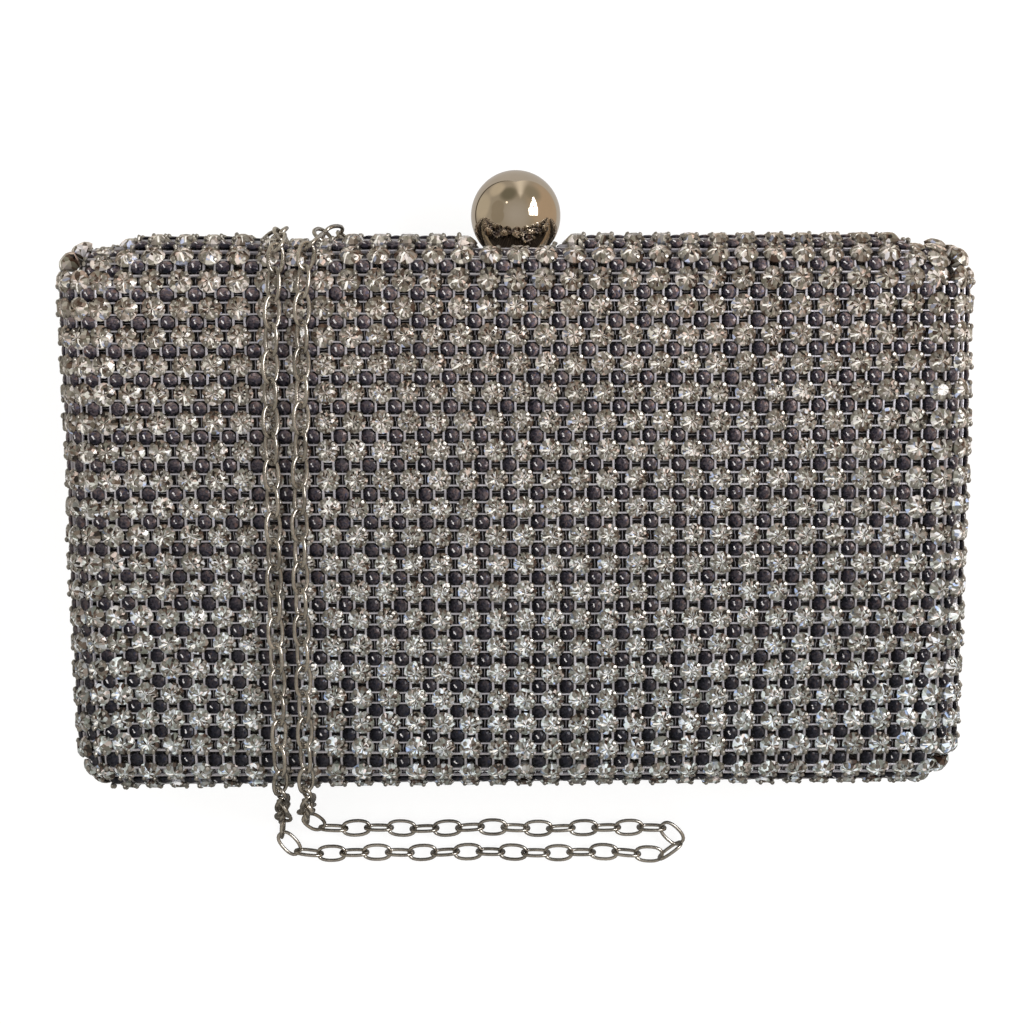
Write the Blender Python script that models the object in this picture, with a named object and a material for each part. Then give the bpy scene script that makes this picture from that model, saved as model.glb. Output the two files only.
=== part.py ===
"""Hard box clutch bag covered in a crystal net, with a ball clasp and a cable chain.

The bag lies on its back. +X runs to the right of someone who looks at the front, +Y runs
towards the clasp, and +Z runs out of the front. The origin is the centre of the back's
resting face. The rear half carries the hinge pins and the latch, and the front half swings
up on two barrel hinges along the bottom of the bag.
"""

import itertools
import math

import bmesh
import bpy
from mathutils import Matrix, Vector

MM = 0.001

# Overall size
WIDTH = 200.0 * MM
HEIGHT = 123.0 * MM
DEPTH = 40.0 * MM
EDGE_RADIUS = 10.0 * MM
CORNER_RADIUS = 11.0 * MM
LEAST_FILLET = 0.8 * MM
FIT = 0.3 * MM
OVERRUN = 2.0 * MM
GRAIN = 0.001 * MM

# Layers of each half, from outside in
NET_WALL = 3.0 * MM
CLOTH_WALL = 0.6 * MM
SHELL_WALL = 1.5 * MM
LINING_WALL = 1.0 * MM

# Crystals of the net, as studs with grooves between them
CRYSTAL_PITCH = 6.35 * MM
CRYSTAL_RELIEF = 1.4 * MM
CRYSTAL_TOP_SHARE = 0.70
CRYSTAL_EDGE_ROWS = 3
CRYSTAL_CORNER_SECTORS = 2

# Metal frames that meet at the mouth
FRAME_RECESS = 4.8 * MM
FRAME_WALL = 2.5 * MM
FRAME_DEPTH = 4.0 * MM

# Barrel hinges along the bottom
HINGE_X = 60.0 * MM
HINGE_STANDOFF = 0.6 * MM
KNUCKLE_RADIUS = 1.6 * MM
KNUCKLE_LENGTH = 8.0 * MM
HINGE_PIN_RADIUS = 0.7 * MM
LEAF_THICKNESS = 1.1 * MM
LEAF_HEIGHT = 2.0 * MM
KNUCKLES = 3

# Ball clasp, its stem and its lever
BALL_RADIUS = 10.1 * MM
BALL_STANDOFF = 0.4 * MM
BALL_RELIEF = 0.9 * MM
BALL_BORE_DEPTH = 5.0 * MM
STEM_RADIUS = 1.2 * MM
PIVOT_INSET = 8.7 * MM
PIVOT_PIN_RADIUS = 0.8 * MM
LEVER_BOSS_RADIUS = 2.2 * MM
LEVER_BOSS_LENGTH = 10.0 * MM
LEVER_WIDTH = 4.0 * MM
LEVER_THICKNESS = 3.6 * MM
LEVER_TAIL = 1.5 * MM
NOSE_LENGTH = 2.0 * MM
NOSE_REACH = 2.1 * MM
LATCH_TRAVEL = math.radians(8.0)

# Striker on the front frame
PLATE_THICKNESS = 1.1 * MM
STRIKER_WIDTH = 19.0 * MM
WINDOW_WIDTH = 5.6 * MM
PRONG_WIDTH = 2.0 * MM
BAR_HEIGHT = 1.2 * MM

# Latch bracket on the rear frame
CHEEK_THICKNESS = 1.2 * MM
CHEEK_HEIGHT = 4.8 * MM
FOOT_LENGTH = 4.5 * MM
FOOT_HEIGHT = 3.4 * MM
WEB_DROP = 5.5 * MM
SPRING_WIDTH = 3.0 * MM
SPRING_THICKNESS = 0.4 * MM
SPRING_FOOT = 2.0 * MM
SPRING_BEND = 0.8 * MM
SPRING_RISE = 1.1 * MM

# Rivets of the striker and the bracket
RIVET_SHANK_RADIUS = 0.6 * MM
RIVET_HEAD_RADIUS = 1.3 * MM
RIVET_HEAD_HEIGHT = 0.6 * MM
RIVET_GRIP = 1.5 * MM
STRIKER_RIVET_X = 7.2 * MM
BRACKET_RIVET_X = 9.0 * MM

# Chain lugs and jump rings on the front frame
LUG_X = (-68.0 * MM, -24.0 * MM)
LUG_BASE_LENGTH = 3.2 * MM
LUG_BASE_HEIGHT = 0.8 * MM
LUG_BASE_WIDTH = 1.4 * MM
LUG_RING_RADIUS = 1.25 * MM
JUMP_RING_RADIUS = 1.9 * MM
RING_WIRE_RADIUS = 0.4 * MM
LUG_RISE = 1.6 * MM

# Chain, as wide as its links
CHAIN_WIDTH = 4.6 * MM
CHAIN_STEP = 7.0 * MM
CHAIN_FINE_STEP = 1.6 * MM
CHAIN_FLAT_TURN = math.radians(7.0)
POINTS_A_STEP = 4

# Steps of round shapes
CORNER_STEPS = 4
EDGE_STEPS = 4
ROUND_STEPS = 16
WIRE_STEPS = 6
BALL_STEPS = 28
BALL_RINGS = 14
SMOOTH_ANGLE = math.radians(35.0)
FLAT_ANGLE = math.radians(0.1)

# Places that several pieces share
MID = DEPTH / 2
SEAM = FRAME_DEPTH + FIT
NET_INNER = NET_WALL
CLOTH_OUTER = NET_INNER + FIT
CLOTH_INNER = CLOTH_OUTER + CLOTH_WALL
SHELL_OUTER = CLOTH_INNER + FIT
SHELL_INNER = SHELL_OUTER + SHELL_WALL
LINING_OUTER = SHELL_INNER + FIT
LINING_INNER = LINING_OUTER + LINING_WALL
FRAME_OUT_Y = HEIGHT / 2 - FRAME_RECESS
FRAME_IN_Y = FRAME_OUT_Y - FRAME_WALL
HINGE_Y = -(FRAME_OUT_Y + HINGE_STANDOFF)
PIVOT_Y = FRAME_IN_Y - PIVOT_INSET
BALL_Y = FRAME_OUT_Y + BALL_STANDOFF + BALL_RADIUS
PLATE_OUT_Y = FRAME_IN_Y - FIT
PLATE_IN_Y = PLATE_OUT_Y - PLATE_THICKNESS
LEVER_TOP_Y = PLATE_IN_Y - FIT
NOSE_LOW_Z = MID - LEVER_THICKNESS / 2 - NOSE_REACH
BAR_TOP_Z = NOSE_LOW_Z - FIT
CHEEK_IN_X = LEVER_BOSS_LENGTH / 2 + FIT
CHEEK_OUT_X = CHEEK_IN_X + CHEEK_THICKNESS
WEB_IN_Y = PIVOT_Y - LEVER_BOSS_RADIUS - 2 * FIT - SPRING_THICKNESS
WEB_OUT_Y = WEB_IN_Y - CHEEK_THICKNESS
REAR_PLATE_TOP_Z = MID - FIT
FRONT_PLATE_LOW_Z = MID + FIT
LUG_Y = FRAME_OUT_Y + FIT + LUG_BASE_HEIGHT + LUG_RING_RADIUS
LUG_Z = MID + LUG_RISE

# Colours as linear red, green and blue, then roughness and metallic value
FINISHES = {
    "crystal_net": ((0.36, 0.33, 0.30), 0.12, 0.35),
    "backing_cloth": ((0.006, 0.006, 0.008), 0.9, 0.0),
    "shell": ((0.05, 0.05, 0.055), 0.5, 0.2),
    "lining": ((0.02, 0.018, 0.02), 0.6, 0.0),
    "frame": ((0.42, 0.39, 0.36), 0.28, 1.0),
    "hardware": ((0.45, 0.43, 0.40), 0.35, 1.0),
    "ball": ((0.62, 0.55, 0.47), 0.04, 1.0),
    "spring": ((0.30, 0.30, 0.32), 0.3, 1.0),
    "chain": ((0.34, 0.31, 0.28), 0.25, 1.0),
}


def clear_scene():
    """Empties the scene that the script starts in."""
    for thing in list(bpy.data.objects):
        bpy.data.objects.remove(thing, do_unlink=True)


def finish(name, kind):
    """A material of its own for one piece."""
    colour, roughness, metallic = FINISHES[kind]
    material = bpy.data.materials.new(name)
    material.use_nodes = True
    shader = material.node_tree.nodes["Principled BSDF"]
    shader.inputs["Base Color"].default_value = (*colour, 1.0)
    shader.inputs["Roughness"].default_value = roughness
    shader.inputs["Metallic"].default_value = metallic
    return material


def add_object(name, data, kind=None, axis=None):
    """Puts mesh or curve data in the scene, under the empty that marks its joint's axis."""
    thing = bpy.data.objects.new(name, data)
    bpy.context.scene.collection.objects.link(thing)
    if kind:
        data.materials.append(finish(name, kind))
    if axis:
        thing.parent = axis
        thing.location = -axis.location
    return thing


def mesh_from(name, bm):
    """Turns a bmesh into a mesh with its faces out and its round faces smooth."""
    bmesh.ops.recalc_face_normals(bm, faces=bm.faces)
    mesh = bpy.data.meshes.new(name)
    bm.to_mesh(mesh)
    bm.free()
    mesh.shade_smooth()
    mesh.set_sharp_from_angle(angle=SMOOTH_ANGLE)
    return mesh


def helper(name, mesh):
    """A cutter or an addition that takes no part in the model by itself."""
    thing = add_object(name, mesh)
    thing.hide_render = True
    thing.display_type = "WIRE"
    return thing


def boolean(piece, mesh, operation):
    """Cuts a mesh from a piece, or joins it on."""
    number = len(piece.modifiers)
    tool = helper(f"{piece.name}_{operation.lower()}_{number}", mesh)
    modifier = piece.modifiers.new(f"{operation.lower()}_{number}", "BOOLEAN")
    modifier.operation = operation
    modifier.solver = "EXACT"
    modifier.object = tool
    tool.parent = piece.parent
    tool.location = piece.location


def cut(piece, mesh):
    boolean(piece, mesh, "DIFFERENCE")


def join(piece, mesh):
    boolean(piece, mesh, "UNION")


def box(low, high):
    """A box between two corners."""
    bm = bmesh.new()
    bmesh.ops.create_cube(bm, size=1)
    centre = (Vector(low) + Vector(high)) / 2
    size = Vector(high) - Vector(low)
    bmesh.ops.transform(bm, matrix=Matrix.Translation(centre) @ Matrix.Diagonal((*size, 1)), verts=bm.verts)
    return mesh_from("box", bm)


def levels(values):
    """The values in order, with those that differ by less than the grain as one."""
    kept = []
    for value in sorted(values):
        if not kept or value - kept[-1] > GRAIN:
            kept.append(value)
    return kept


def filled_cells(boxes, marks):
    """The cells between the marks of the three axes that the boxes fill."""
    cells = set()
    for low, high in boxes:
        spans = []
        for along in range(3):
            middles = [(start + end) / 2 for start, end in zip(marks[along], marks[along][1:])]
            spans.append([k for k, middle in enumerate(middles) if low[along] < middle < high[along]])
        cells.update(itertools.product(*spans))
    return cells


def blocks(boxes):
    """One closed solid from boxes that overlap or share walls, each given by two corners."""
    marks = [levels(corner[along] for pair in boxes for corner in pair) for along in range(3)]
    cells = filled_cells(boxes, marks)
    bm = bmesh.new()
    corners = {}
    for cell, along, side in itertools.product(sorted(cells), range(3), (0, 1)):
        beyond = tuple(place + (2 * side - 1) * (k == along) for k, place in enumerate(cell))
        if beyond in cells:
            continue
        quad = []
        for across, down in ((0, 0), (1, 0), (1, 1), (0, 1)):
            steps = [across, down]
            steps.insert(along, side)
            key = tuple(place + step for place, step in zip(cell, steps))
            if key not in corners:
                corners[key] = bm.verts.new([marks[k][place] for k, place in enumerate(key)])
            quad.append(corners[key])
        bm.faces.new(quad)
    bmesh.ops.recalc_face_normals(bm, faces=bm.faces)
    bmesh.ops.dissolve_limit(bm, angle_limit=FLAT_ANGLE, verts=bm.verts, edges=bm.edges)
    return mesh_from("blocks", bm)


def rod(start, end, radius):
    """A cylinder between two points."""
    run = Vector(end) - Vector(start)
    turn = run.to_track_quat("Z", "Y").to_matrix().to_4x4()
    bm = bmesh.new()
    bmesh.ops.create_cone(
        bm, cap_ends=True, segments=ROUND_STEPS, radius1=radius, radius2=radius, depth=run.length
    )
    place = Matrix.Translation((Vector(start) + Vector(end)) / 2) @ turn
    bmesh.ops.transform(bm, matrix=place, verts=bm.verts)
    return mesh_from("rod", bm)


def ball(centre, radius):
    """A sphere with its poles along Y, where its stem enters."""
    bm = bmesh.new()
    bmesh.ops.create_uvsphere(bm, u_segments=BALL_STEPS, v_segments=BALL_RINGS, radius=radius)
    place = Matrix.Translation(centre) @ Matrix.Rotation(math.pi / 2, 4, "X")
    bmesh.ops.transform(bm, matrix=place, verts=bm.verts)
    return mesh_from("ball", bm)


def skin(bm, rings):
    """Adds closed rings of points to a mesh, joined in order."""
    rows = [[bm.verts.new(point) for point in ring] for ring in rings]
    for low, high in zip(rows, rows[1:]):
        for k in range(len(low)):
            after = (k + 1) % len(low)
            bm.faces.new((low[k], low[after], high[after], high[k]))
    return rows


def loft(rings):
    """Joins closed rings of points in order, and closes the first and the last with a face."""
    bm = bmesh.new()
    rows = skin(bm, rings)
    bm.faces.new(reversed(rows[0]))
    bm.faces.new(rows[-1])
    return bm


def ring_of_wire(centre, radius, wire, normal):
    """A closed ring of round wire about an axis."""
    bm = bmesh.new()
    turn = Vector(normal).to_track_quat("Z", "Y").to_matrix().to_4x4()
    place = Matrix.Translation(centre) @ turn
    rows = []
    for k in range(ROUND_STEPS):
        around = 2 * math.pi * k / ROUND_STEPS
        row = []
        for j in range(WIRE_STEPS):
            section = 2 * math.pi * j / WIRE_STEPS
            out = radius + wire * math.cos(section)
            point = Vector((out * math.cos(around), out * math.sin(around), wire * math.sin(section)))
            row.append(bm.verts.new(place @ point))
        rows.append(row)
    for k in range(len(rows)):
        this, following = rows[k], rows[(k + 1) % len(rows)]
        for j in range(len(this)):
            after = (j + 1) % len(this)
            bm.faces.new((this[j], following[j], following[after], this[after]))
    return mesh_from("ring", bm)


def prism(outline, low_x, high_x):
    """An outline of (y, z) points drawn out along X."""
    bm = bmesh.new()
    rows = [[bm.verts.new((x, y, z)) for y, z in outline] for x in (low_x, high_x)]
    count = len(outline)
    for k in range(count):
        after = (k + 1) % count
        bm.faces.new((rows[0][k], rows[0][after], rows[1][after], rows[1][k]))
    bm.faces.new(rows[0])
    bm.faces.new(reversed(rows[1]))
    return mesh_from("prism", bm)


def plan_ring(half_x, half_y, corner, z):
    """A rectangle with round corners, seen from the front of the bag."""
    points = []
    for quarter, (sx, sy) in enumerate(((1, 1), (-1, 1), (-1, -1), (1, -1))):
        centre = Vector((sx * (half_x - corner), sy * (half_y - corner), z))
        for step in range(CORNER_STEPS + 1):
            angle = math.pi / 2 * (quarter + step / CORNER_STEPS)
            points.append(centre + corner * Vector((math.cos(angle), math.sin(angle), 0)))
    return points


def pan_rings(offset, side):
    """The rings of one half's surface at an offset under the crystals, from seam to face."""
    edge = max(EDGE_RADIUS - offset, LEAST_FILLET)
    corner = max(CORNER_RADIUS - offset, edge + LEAST_FILLET)
    half_x, half_y, top = WIDTH / 2 - offset, HEIGHT / 2 - offset, DEPTH / 2 - offset
    rings = [plan_ring(half_x, half_y, corner, MID + side * SEAM)]
    for step in range(EDGE_STEPS + 1):
        angle = math.pi / 2 * step / EDGE_STEPS
        inset = edge * (1 - math.cos(angle))
        height = top - edge + edge * math.sin(angle)
        rings.append(plan_ring(half_x - inset, half_y - inset, corner - inset, MID + side * height))
    return rings


def pan(name, kind, outer, inner, side, axis):
    """One layer of a half: a tray with a round edge, open at the mouth."""
    rings = pan_rings(outer, side)[::-1] + pan_rings(inner, side)
    return add_object(name, mesh_from(name, loft(rings)), kind, axis)


def under_surface(place, depth, side):
    """A place at a depth under the crystals, from its lengths over one half from the middle."""
    u, v = place
    half_x, half_y = WIDTH / 2 - CORNER_RADIUS, HEIGHT / 2 - CORNER_RADIUS
    base = Vector((max(-half_x, min(u, half_x)), max(-half_y, min(v, half_y))))
    over = Vector(place) - base
    rim = CORNER_RADIUS - EDGE_RADIUS
    bend = min(max(over.length - rim, 0) / EDGE_RADIUS, math.pi / 2)
    out = min(over.length, rim) + (EDGE_RADIUS - depth) * math.sin(bend)
    fall = max(over.length - rim - EDGE_RADIUS * math.pi / 2, 0)
    height = DEPTH / 2 - EDGE_RADIUS + (EDGE_RADIUS - depth) * math.cos(bend) - fall
    spot = base + over.normalized() * out
    return Vector((*spot, MID + side * height))


def crystal_lines(half, beyond):
    """The lines between crystals along one axis: an odd count over the flat, then those over the edge."""
    count = 2 * round((2 * half / CRYSTAL_PITCH - 1) / 2) + 1
    flat = [half * (2 * step / count - 1) for step in range(count + 1)]
    return [-half - run for run in reversed(beyond)] + flat + [half + run for run in beyond]


def crystal_cells():
    """The corners of each crystal's cell, as lengths over one half from the middle."""
    half_x, half_y = WIDTH / 2 - CORNER_RADIUS, HEIGHT / 2 - CORNER_RADIUS
    wrap = CORNER_RADIUS + EDGE_RADIUS * (math.pi / 2 - 2) + DEPTH / 2 - SEAM
    runs = [wrap * row / CRYSTAL_EDGE_ROWS for row in range(CRYSTAL_EDGE_ROWS + 1)]
    turns = [math.pi / 2 * turn / CRYSTAL_CORNER_SECTORS for turn in range(CRYSTAL_CORNER_SECTORS + 1)]
    columns, rows = crystal_lines(half_x, runs[1:]), crystal_lines(half_y, runs[1:])
    cells = []
    for (left, right), (low, high) in itertools.product(zip(columns, columns[1:]), zip(rows, rows[1:])):
        if abs(left + right) / 2 < half_x or abs(low + high) / 2 < half_y:
            cells.append(((left, low), (right, low), (right, high), (left, high)))
    sides = itertools.product((-1, 1), (-1, 1), zip(runs, runs[1:]), zip(turns, turns[1:]))
    for sx, sy, (near, far), (start, end) in sides:
        polar = [(far, start), (far, end), (near, end), (near, start)]
        if not near:
            polar.pop()
        places = [(half_x + run * math.cos(turn), half_y + run * math.sin(turn)) for run, turn in polar]
        cells.append([(sx * u, sy * v) for u, v in places])
    return cells


def crystal_studs(bm, side):
    """Adds the outside of one half's net to a mesh, with a stud for each crystal."""
    grooves = {}
    for cell in crystal_cells():
        middle = sum((Vector(place) for place in cell), Vector((0, 0))) / len(cell)
        foot, top = [], []
        for place in cell:
            key = tuple(round(length / GRAIN) for length in place)
            if key not in grooves:
                grooves[key] = bm.verts.new(under_surface(place, CRYSTAL_RELIEF, side))
            foot.append(grooves[key])
            inward = middle.lerp(Vector(place), CRYSTAL_TOP_SHARE)
            top.append(bm.verts.new(under_surface(inward, 0, side)))
        bm.faces.new(top)
        for k in range(len(cell)):
            after = (k + 1) % len(cell)
            bm.faces.new((foot[k], foot[after], top[after], top[k]))


def crystal_net(name, side, axis):
    """The net of one half: a tray with studs outside, open at the mouth."""
    bm = bmesh.new()
    crystal_studs(bm, side)
    bm.faces.new(skin(bm, pan_rings(NET_INNER, side))[-1])
    rim = [edge for edge in bm.edges if edge.is_boundary]
    bmesh.ops.triangle_fill(bm, use_beauty=True, edges=rim, normal=(0, 0, side))
    bmesh.ops.connect_verts_nonplanar(bm, angle_limit=FLAT_ANGLE, faces=bm.faces)
    return add_object(name, mesh_from(name, bm), "crystal_net", axis)


def frame(name, side, axis):
    """The metal frame at the mouth of a half."""
    bm = bmesh.new()
    rings = []
    for offset, height in (
        (FRAME_RECESS, FIT / 2),
        (FRAME_RECESS, FRAME_DEPTH),
        (FRAME_RECESS + FRAME_WALL, FRAME_DEPTH),
        (FRAME_RECESS + FRAME_WALL, FIT / 2),
    ):
        corner = max(CORNER_RADIUS - offset, LEAST_FILLET)
        points = plan_ring(WIDTH / 2 - offset, HEIGHT / 2 - offset, corner, MID + side * height)
        rings.append([bm.verts.new(point) for point in points])
    for k in range(len(rings)):
        this, following = rings[k], rings[(k + 1) % len(rings)]
        for j in range(len(this)):
            after = (j + 1) % len(this)
            bm.faces.new((this[j], this[after], following[after], following[j]))
    piece = add_object(name, mesh_from(name, bm), "frame", axis)
    room = KNUCKLE_RADIUS + FIT
    half_hinge = KNUCKLES * KNUCKLE_LENGTH / 2 + FIT
    for sx in (-1, 1):
        start = (sx * HINGE_X - half_hinge, HINGE_Y, MID)
        cut(piece, rod(start, (sx * HINGE_X + half_hinge, HINGE_Y, MID), room))
    travel = (FRAME_OUT_Y - PIVOT_Y) * math.sin(LATCH_TRAVEL) if side < 0 else 0
    slot_half, slot_depth = STEM_RADIUS + FIT, STEM_RADIUS + FIT + travel
    slot = [MID - side * FIT, MID + side * slot_depth]
    cut(
        piece,
        box(
            (-slot_half, FRAME_IN_Y - OVERRUN, min(slot)),
            (slot_half, FRAME_OUT_Y + OVERRUN, max(slot)),
        ),
    )
    return piece


def ball_relief(piece):
    """Clears the layers round the ball, at rest and when it is pressed back."""
    reach = BALL_Y - PIVOT_Y
    for turn in (0, LATCH_TRAVEL):
        centre = (0, PIVOT_Y + reach * math.cos(turn), MID - reach * math.sin(turn))
        cut(piece, ball(centre, BALL_RADIUS + BALL_RELIEF))


def half(prefix, side, axis):
    """The net, cloth, shell, lining and frame of one half."""
    net = crystal_net(f"{prefix}_crystal_net", side, axis)
    cloth = pan(f"{prefix}_backing_cloth", "backing_cloth", CLOTH_OUTER, CLOTH_INNER, side, axis)
    shell = pan(f"{prefix}_shell", "shell", SHELL_OUTER, SHELL_INNER, side, axis)
    for piece in (net, cloth, shell):
        ball_relief(piece)
    pan(f"{prefix}_lining", "lining", LINING_OUTER, LINING_INNER, side, axis)
    return frame(f"{prefix}_frame", side, axis)


def hinge_leaf(name, centre_x, side, knuckles, axis):
    """A leaf soldered to a frame, with the knuckles that its numbers name."""
    low_x = centre_x - KNUCKLES * KNUCKLE_LENGTH / 2
    high_x = low_x + KNUCKLES * KNUCKLE_LENGTH
    back = -(FRAME_OUT_Y + FIT)
    near, far = KNUCKLE_RADIUS + FIT, KNUCKLE_RADIUS + FIT + LEAF_HEIGHT
    heights = sorted((MID + side * near, MID + side * far))
    boxes = [((low_x, back - LEAF_THICKNESS, heights[0]), (high_x, back, heights[1]))]
    heights = sorted((MID, MID + side * (near + LEAF_HEIGHT / 2)))
    starts = [low_x + number * KNUCKLE_LENGTH + FIT / 2 for number in knuckles]
    for start in starts:
        end = start + KNUCKLE_LENGTH - FIT
        boxes.append(((start, back - LEAF_THICKNESS, heights[0]), (end, back, heights[1])))
    piece = add_object(name, blocks(boxes), "hardware", axis)
    for start in starts:
        end = start + KNUCKLE_LENGTH - FIT
        join(piece, rod((start, HINGE_Y, MID), (end, HINGE_Y, MID), KNUCKLE_RADIUS))
    bore = HINGE_PIN_RADIUS + FIT
    cut(piece, rod((low_x - OVERRUN, HINGE_Y, MID), (high_x + OVERRUN, HINGE_Y, MID), bore))


def hinges(lid_axis):
    """Two barrel hinges: the rear leaves hold the end knuckles and the pins."""
    half_pin = KNUCKLES * KNUCKLE_LENGTH / 2
    for where, sx in (("left", -1), ("right", 1)):
        centre_x = sx * HINGE_X
        hinge_leaf(f"rear_hinge_leaf_{where}", centre_x, -1, range(0, KNUCKLES, 2), None)
        hinge_leaf(f"front_hinge_leaf_{where}", centre_x, 1, range(1, KNUCKLES, 2), lid_axis)
        pin = rod((centre_x - half_pin, HINGE_Y, MID), (centre_x + half_pin, HINGE_Y, MID), HINGE_PIN_RADIUS)
        add_object(f"hinge_pin_{where}", pin, "hardware")


def rivet(name, x, z, holed, axis):
    """A rivet from inside the bag, in holes of its plate and its frame."""
    tip = FRAME_IN_Y + RIVET_GRIP
    head_out = PLATE_IN_Y - FIT
    inside_head = head_out - RIVET_HEAD_HEIGHT / 2
    piece = add_object(name, rod((x, inside_head, z), (x, tip, z), RIVET_SHANK_RADIUS), "hardware", axis)
    join(piece, rod((x, head_out - RIVET_HEAD_HEIGHT, z), (x, head_out, z), RIVET_HEAD_RADIUS))
    for other in holed:
        cut(other, rod((x, PLATE_IN_Y - OVERRUN, z), (x, tip + FIT, z), RIVET_SHANK_RADIUS + FIT))


def striker(front_frame, axis):
    """The front frame's catch: a plate with two prongs and a bar that passes the stem."""
    window = WINDOW_WIDTH / 2
    prong = window + PRONG_WIDTH
    bar_low = BAR_TOP_Z - BAR_HEIGHT
    top = MID + FRAME_DEPTH
    window_top = MID + LEVER_THICKNESS / 2 + FIT
    half_plate = STRIKER_WIDTH / 2
    outline = (
        (-half_plate, FRONT_PLATE_LOW_Z, -window, top),
        (window, FRONT_PLATE_LOW_Z, half_plate, top),
        (-prong, bar_low, -window, top),
        (window, bar_low, prong, top),
        (-window, bar_low, window, BAR_TOP_Z),
        (-window, window_top, window, top),
    )
    boxes = [((a, PLATE_IN_Y, low), (b, PLATE_OUT_Y, high)) for a, low, b, high in outline]
    piece = add_object("striker_plate", blocks(boxes), "hardware", axis)
    for where, sx in (("left", -1), ("right", 1)):
        z = MID + FRAME_DEPTH / 2
        rivet(f"striker_rivet_{where}", sx * STRIKER_RIVET_X, z, (piece, front_frame), axis)


def bracket(rear_frame):
    """The latch's U-shaped bracket inside the rear frame, its pin and its rivets."""
    low, high = MID - CHEEK_HEIGHT / 2, MID + CHEEK_HEIGHT / 2
    ear_end = PIVOT_Y + CHEEK_HEIGHT / 2
    foot_low = REAR_PLATE_TOP_Z - FOOT_HEIGHT
    boxes = [((-CHEEK_OUT_X, WEB_OUT_Y, MID - WEB_DROP), (CHEEK_OUT_X, WEB_IN_Y, high))]
    for sx in (-1, 1):
        cheek = sorted((sx * CHEEK_IN_X, sx * CHEEK_OUT_X))
        foot = sorted((sx * CHEEK_IN_X, sx * (CHEEK_OUT_X + FOOT_LENGTH)))
        boxes.append(((cheek[0], WEB_OUT_Y, low), (cheek[1], ear_end, high)))
        boxes.append(((cheek[0], WEB_OUT_Y, low), (cheek[1], PLATE_OUT_Y, REAR_PLATE_TOP_Z)))
        boxes.append(((foot[0], PLATE_IN_Y, foot_low), (foot[1], PLATE_OUT_Y, REAR_PLATE_TOP_Z)))
    piece = add_object("latch_bracket", blocks(boxes), "hardware")
    reach = CHEEK_OUT_X + OVERRUN
    cut(piece, rod((-reach, PIVOT_Y, MID), (reach, PIVOT_Y, MID), PIVOT_PIN_RADIUS + FIT))
    pin = rod((-CHEEK_OUT_X - FIT, PIVOT_Y, MID), (CHEEK_OUT_X + FIT, PIVOT_Y, MID), PIVOT_PIN_RADIUS)
    add_object("latch_pivot_pin", pin, "hardware")
    for where, sx in (("left", -1), ("right", 1)):
        z = REAR_PLATE_TOP_Z - FOOT_HEIGHT / 2
        rivet(f"bracket_rivet_{where}", sx * BRACKET_RIVET_X, z, (piece, rear_frame), None)


def latch_spring():
    """A leaf spring from the bracket's web to the underside of the lever's nose."""
    foot = WEB_IN_Y + FIT + SPRING_THICKNESS / 2
    low = MID - WEB_DROP + SPRING_THICKNESS / 2
    tip_z = NOSE_LOW_Z - FIT - SPRING_THICKNESS
    line = (
        Vector((foot, low + SPRING_BEND + SPRING_FOOT)),
        Vector((foot, low + SPRING_BEND)),
        Vector((foot + SPRING_BEND, low)),
        Vector((PIVOT_Y + LEVER_BOSS_RADIUS, low)),
        Vector((LEVER_TOP_Y - NOSE_LENGTH, min(low + SPRING_RISE, tip_z))),
        Vector((LEVER_TOP_Y - FIT, min(low + SPRING_RISE, tip_z))),
    )
    left, right = [], []
    for k, point in enumerate(line):
        before, after = line[max(k - 1, 0)], line[min(k + 1, len(line) - 1)]
        along = (after - before).normalized()
        across = Vector((-along.y, along.x)) * SPRING_THICKNESS / 2
        left.append(tuple(point + across))
        right.append(tuple(point - across))
    mesh = prism(left + right[::-1], -SPRING_WIDTH / 2, SPRING_WIDTH / 2)
    add_object("latch_spring", mesh, "spring")


def ball_latch(axis):
    """The ball, its stem and the lever that turns on the pivot pin."""
    half_arm = LEVER_THICKNESS / 2
    outline = (
        (PIVOT_Y - LEVER_TAIL, MID - half_arm),
        (LEVER_TOP_Y - NOSE_LENGTH, MID - half_arm),
        (LEVER_TOP_Y - NOSE_LENGTH, NOSE_LOW_Z),
        (LEVER_TOP_Y, NOSE_LOW_Z),
        (LEVER_TOP_Y, MID + half_arm),
        (PIVOT_Y - LEVER_TAIL, MID + half_arm),
    )
    half_width, half_boss = LEVER_WIDTH / 2, LEVER_BOSS_LENGTH / 2
    lever = add_object("latch_lever", prism(outline, -half_width, half_width), "hardware", axis)
    join(lever, rod((-half_boss, PIVOT_Y, MID), (half_boss, PIVOT_Y, MID), LEVER_BOSS_RADIUS))
    reach = half_boss + OVERRUN
    cut(lever, rod((-reach, PIVOT_Y, MID), (reach, PIVOT_Y, MID), PIVOT_PIN_RADIUS + FIT))
    bore_end = BALL_Y - BALL_RADIUS + BALL_BORE_DEPTH
    stem = rod((0, LEVER_TOP_Y + FIT, MID), (0, bore_end - FIT, MID), STEM_RADIUS)
    add_object("knob_stem", stem, "hardware", axis)
    knob = add_object("ball_knob", ball((0, BALL_Y, MID), BALL_RADIUS), "ball", axis)
    cut(knob, rod((0, BALL_Y - BALL_RADIUS - OVERRUN, MID), (0, bore_end, MID), STEM_RADIUS + FIT))


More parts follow.
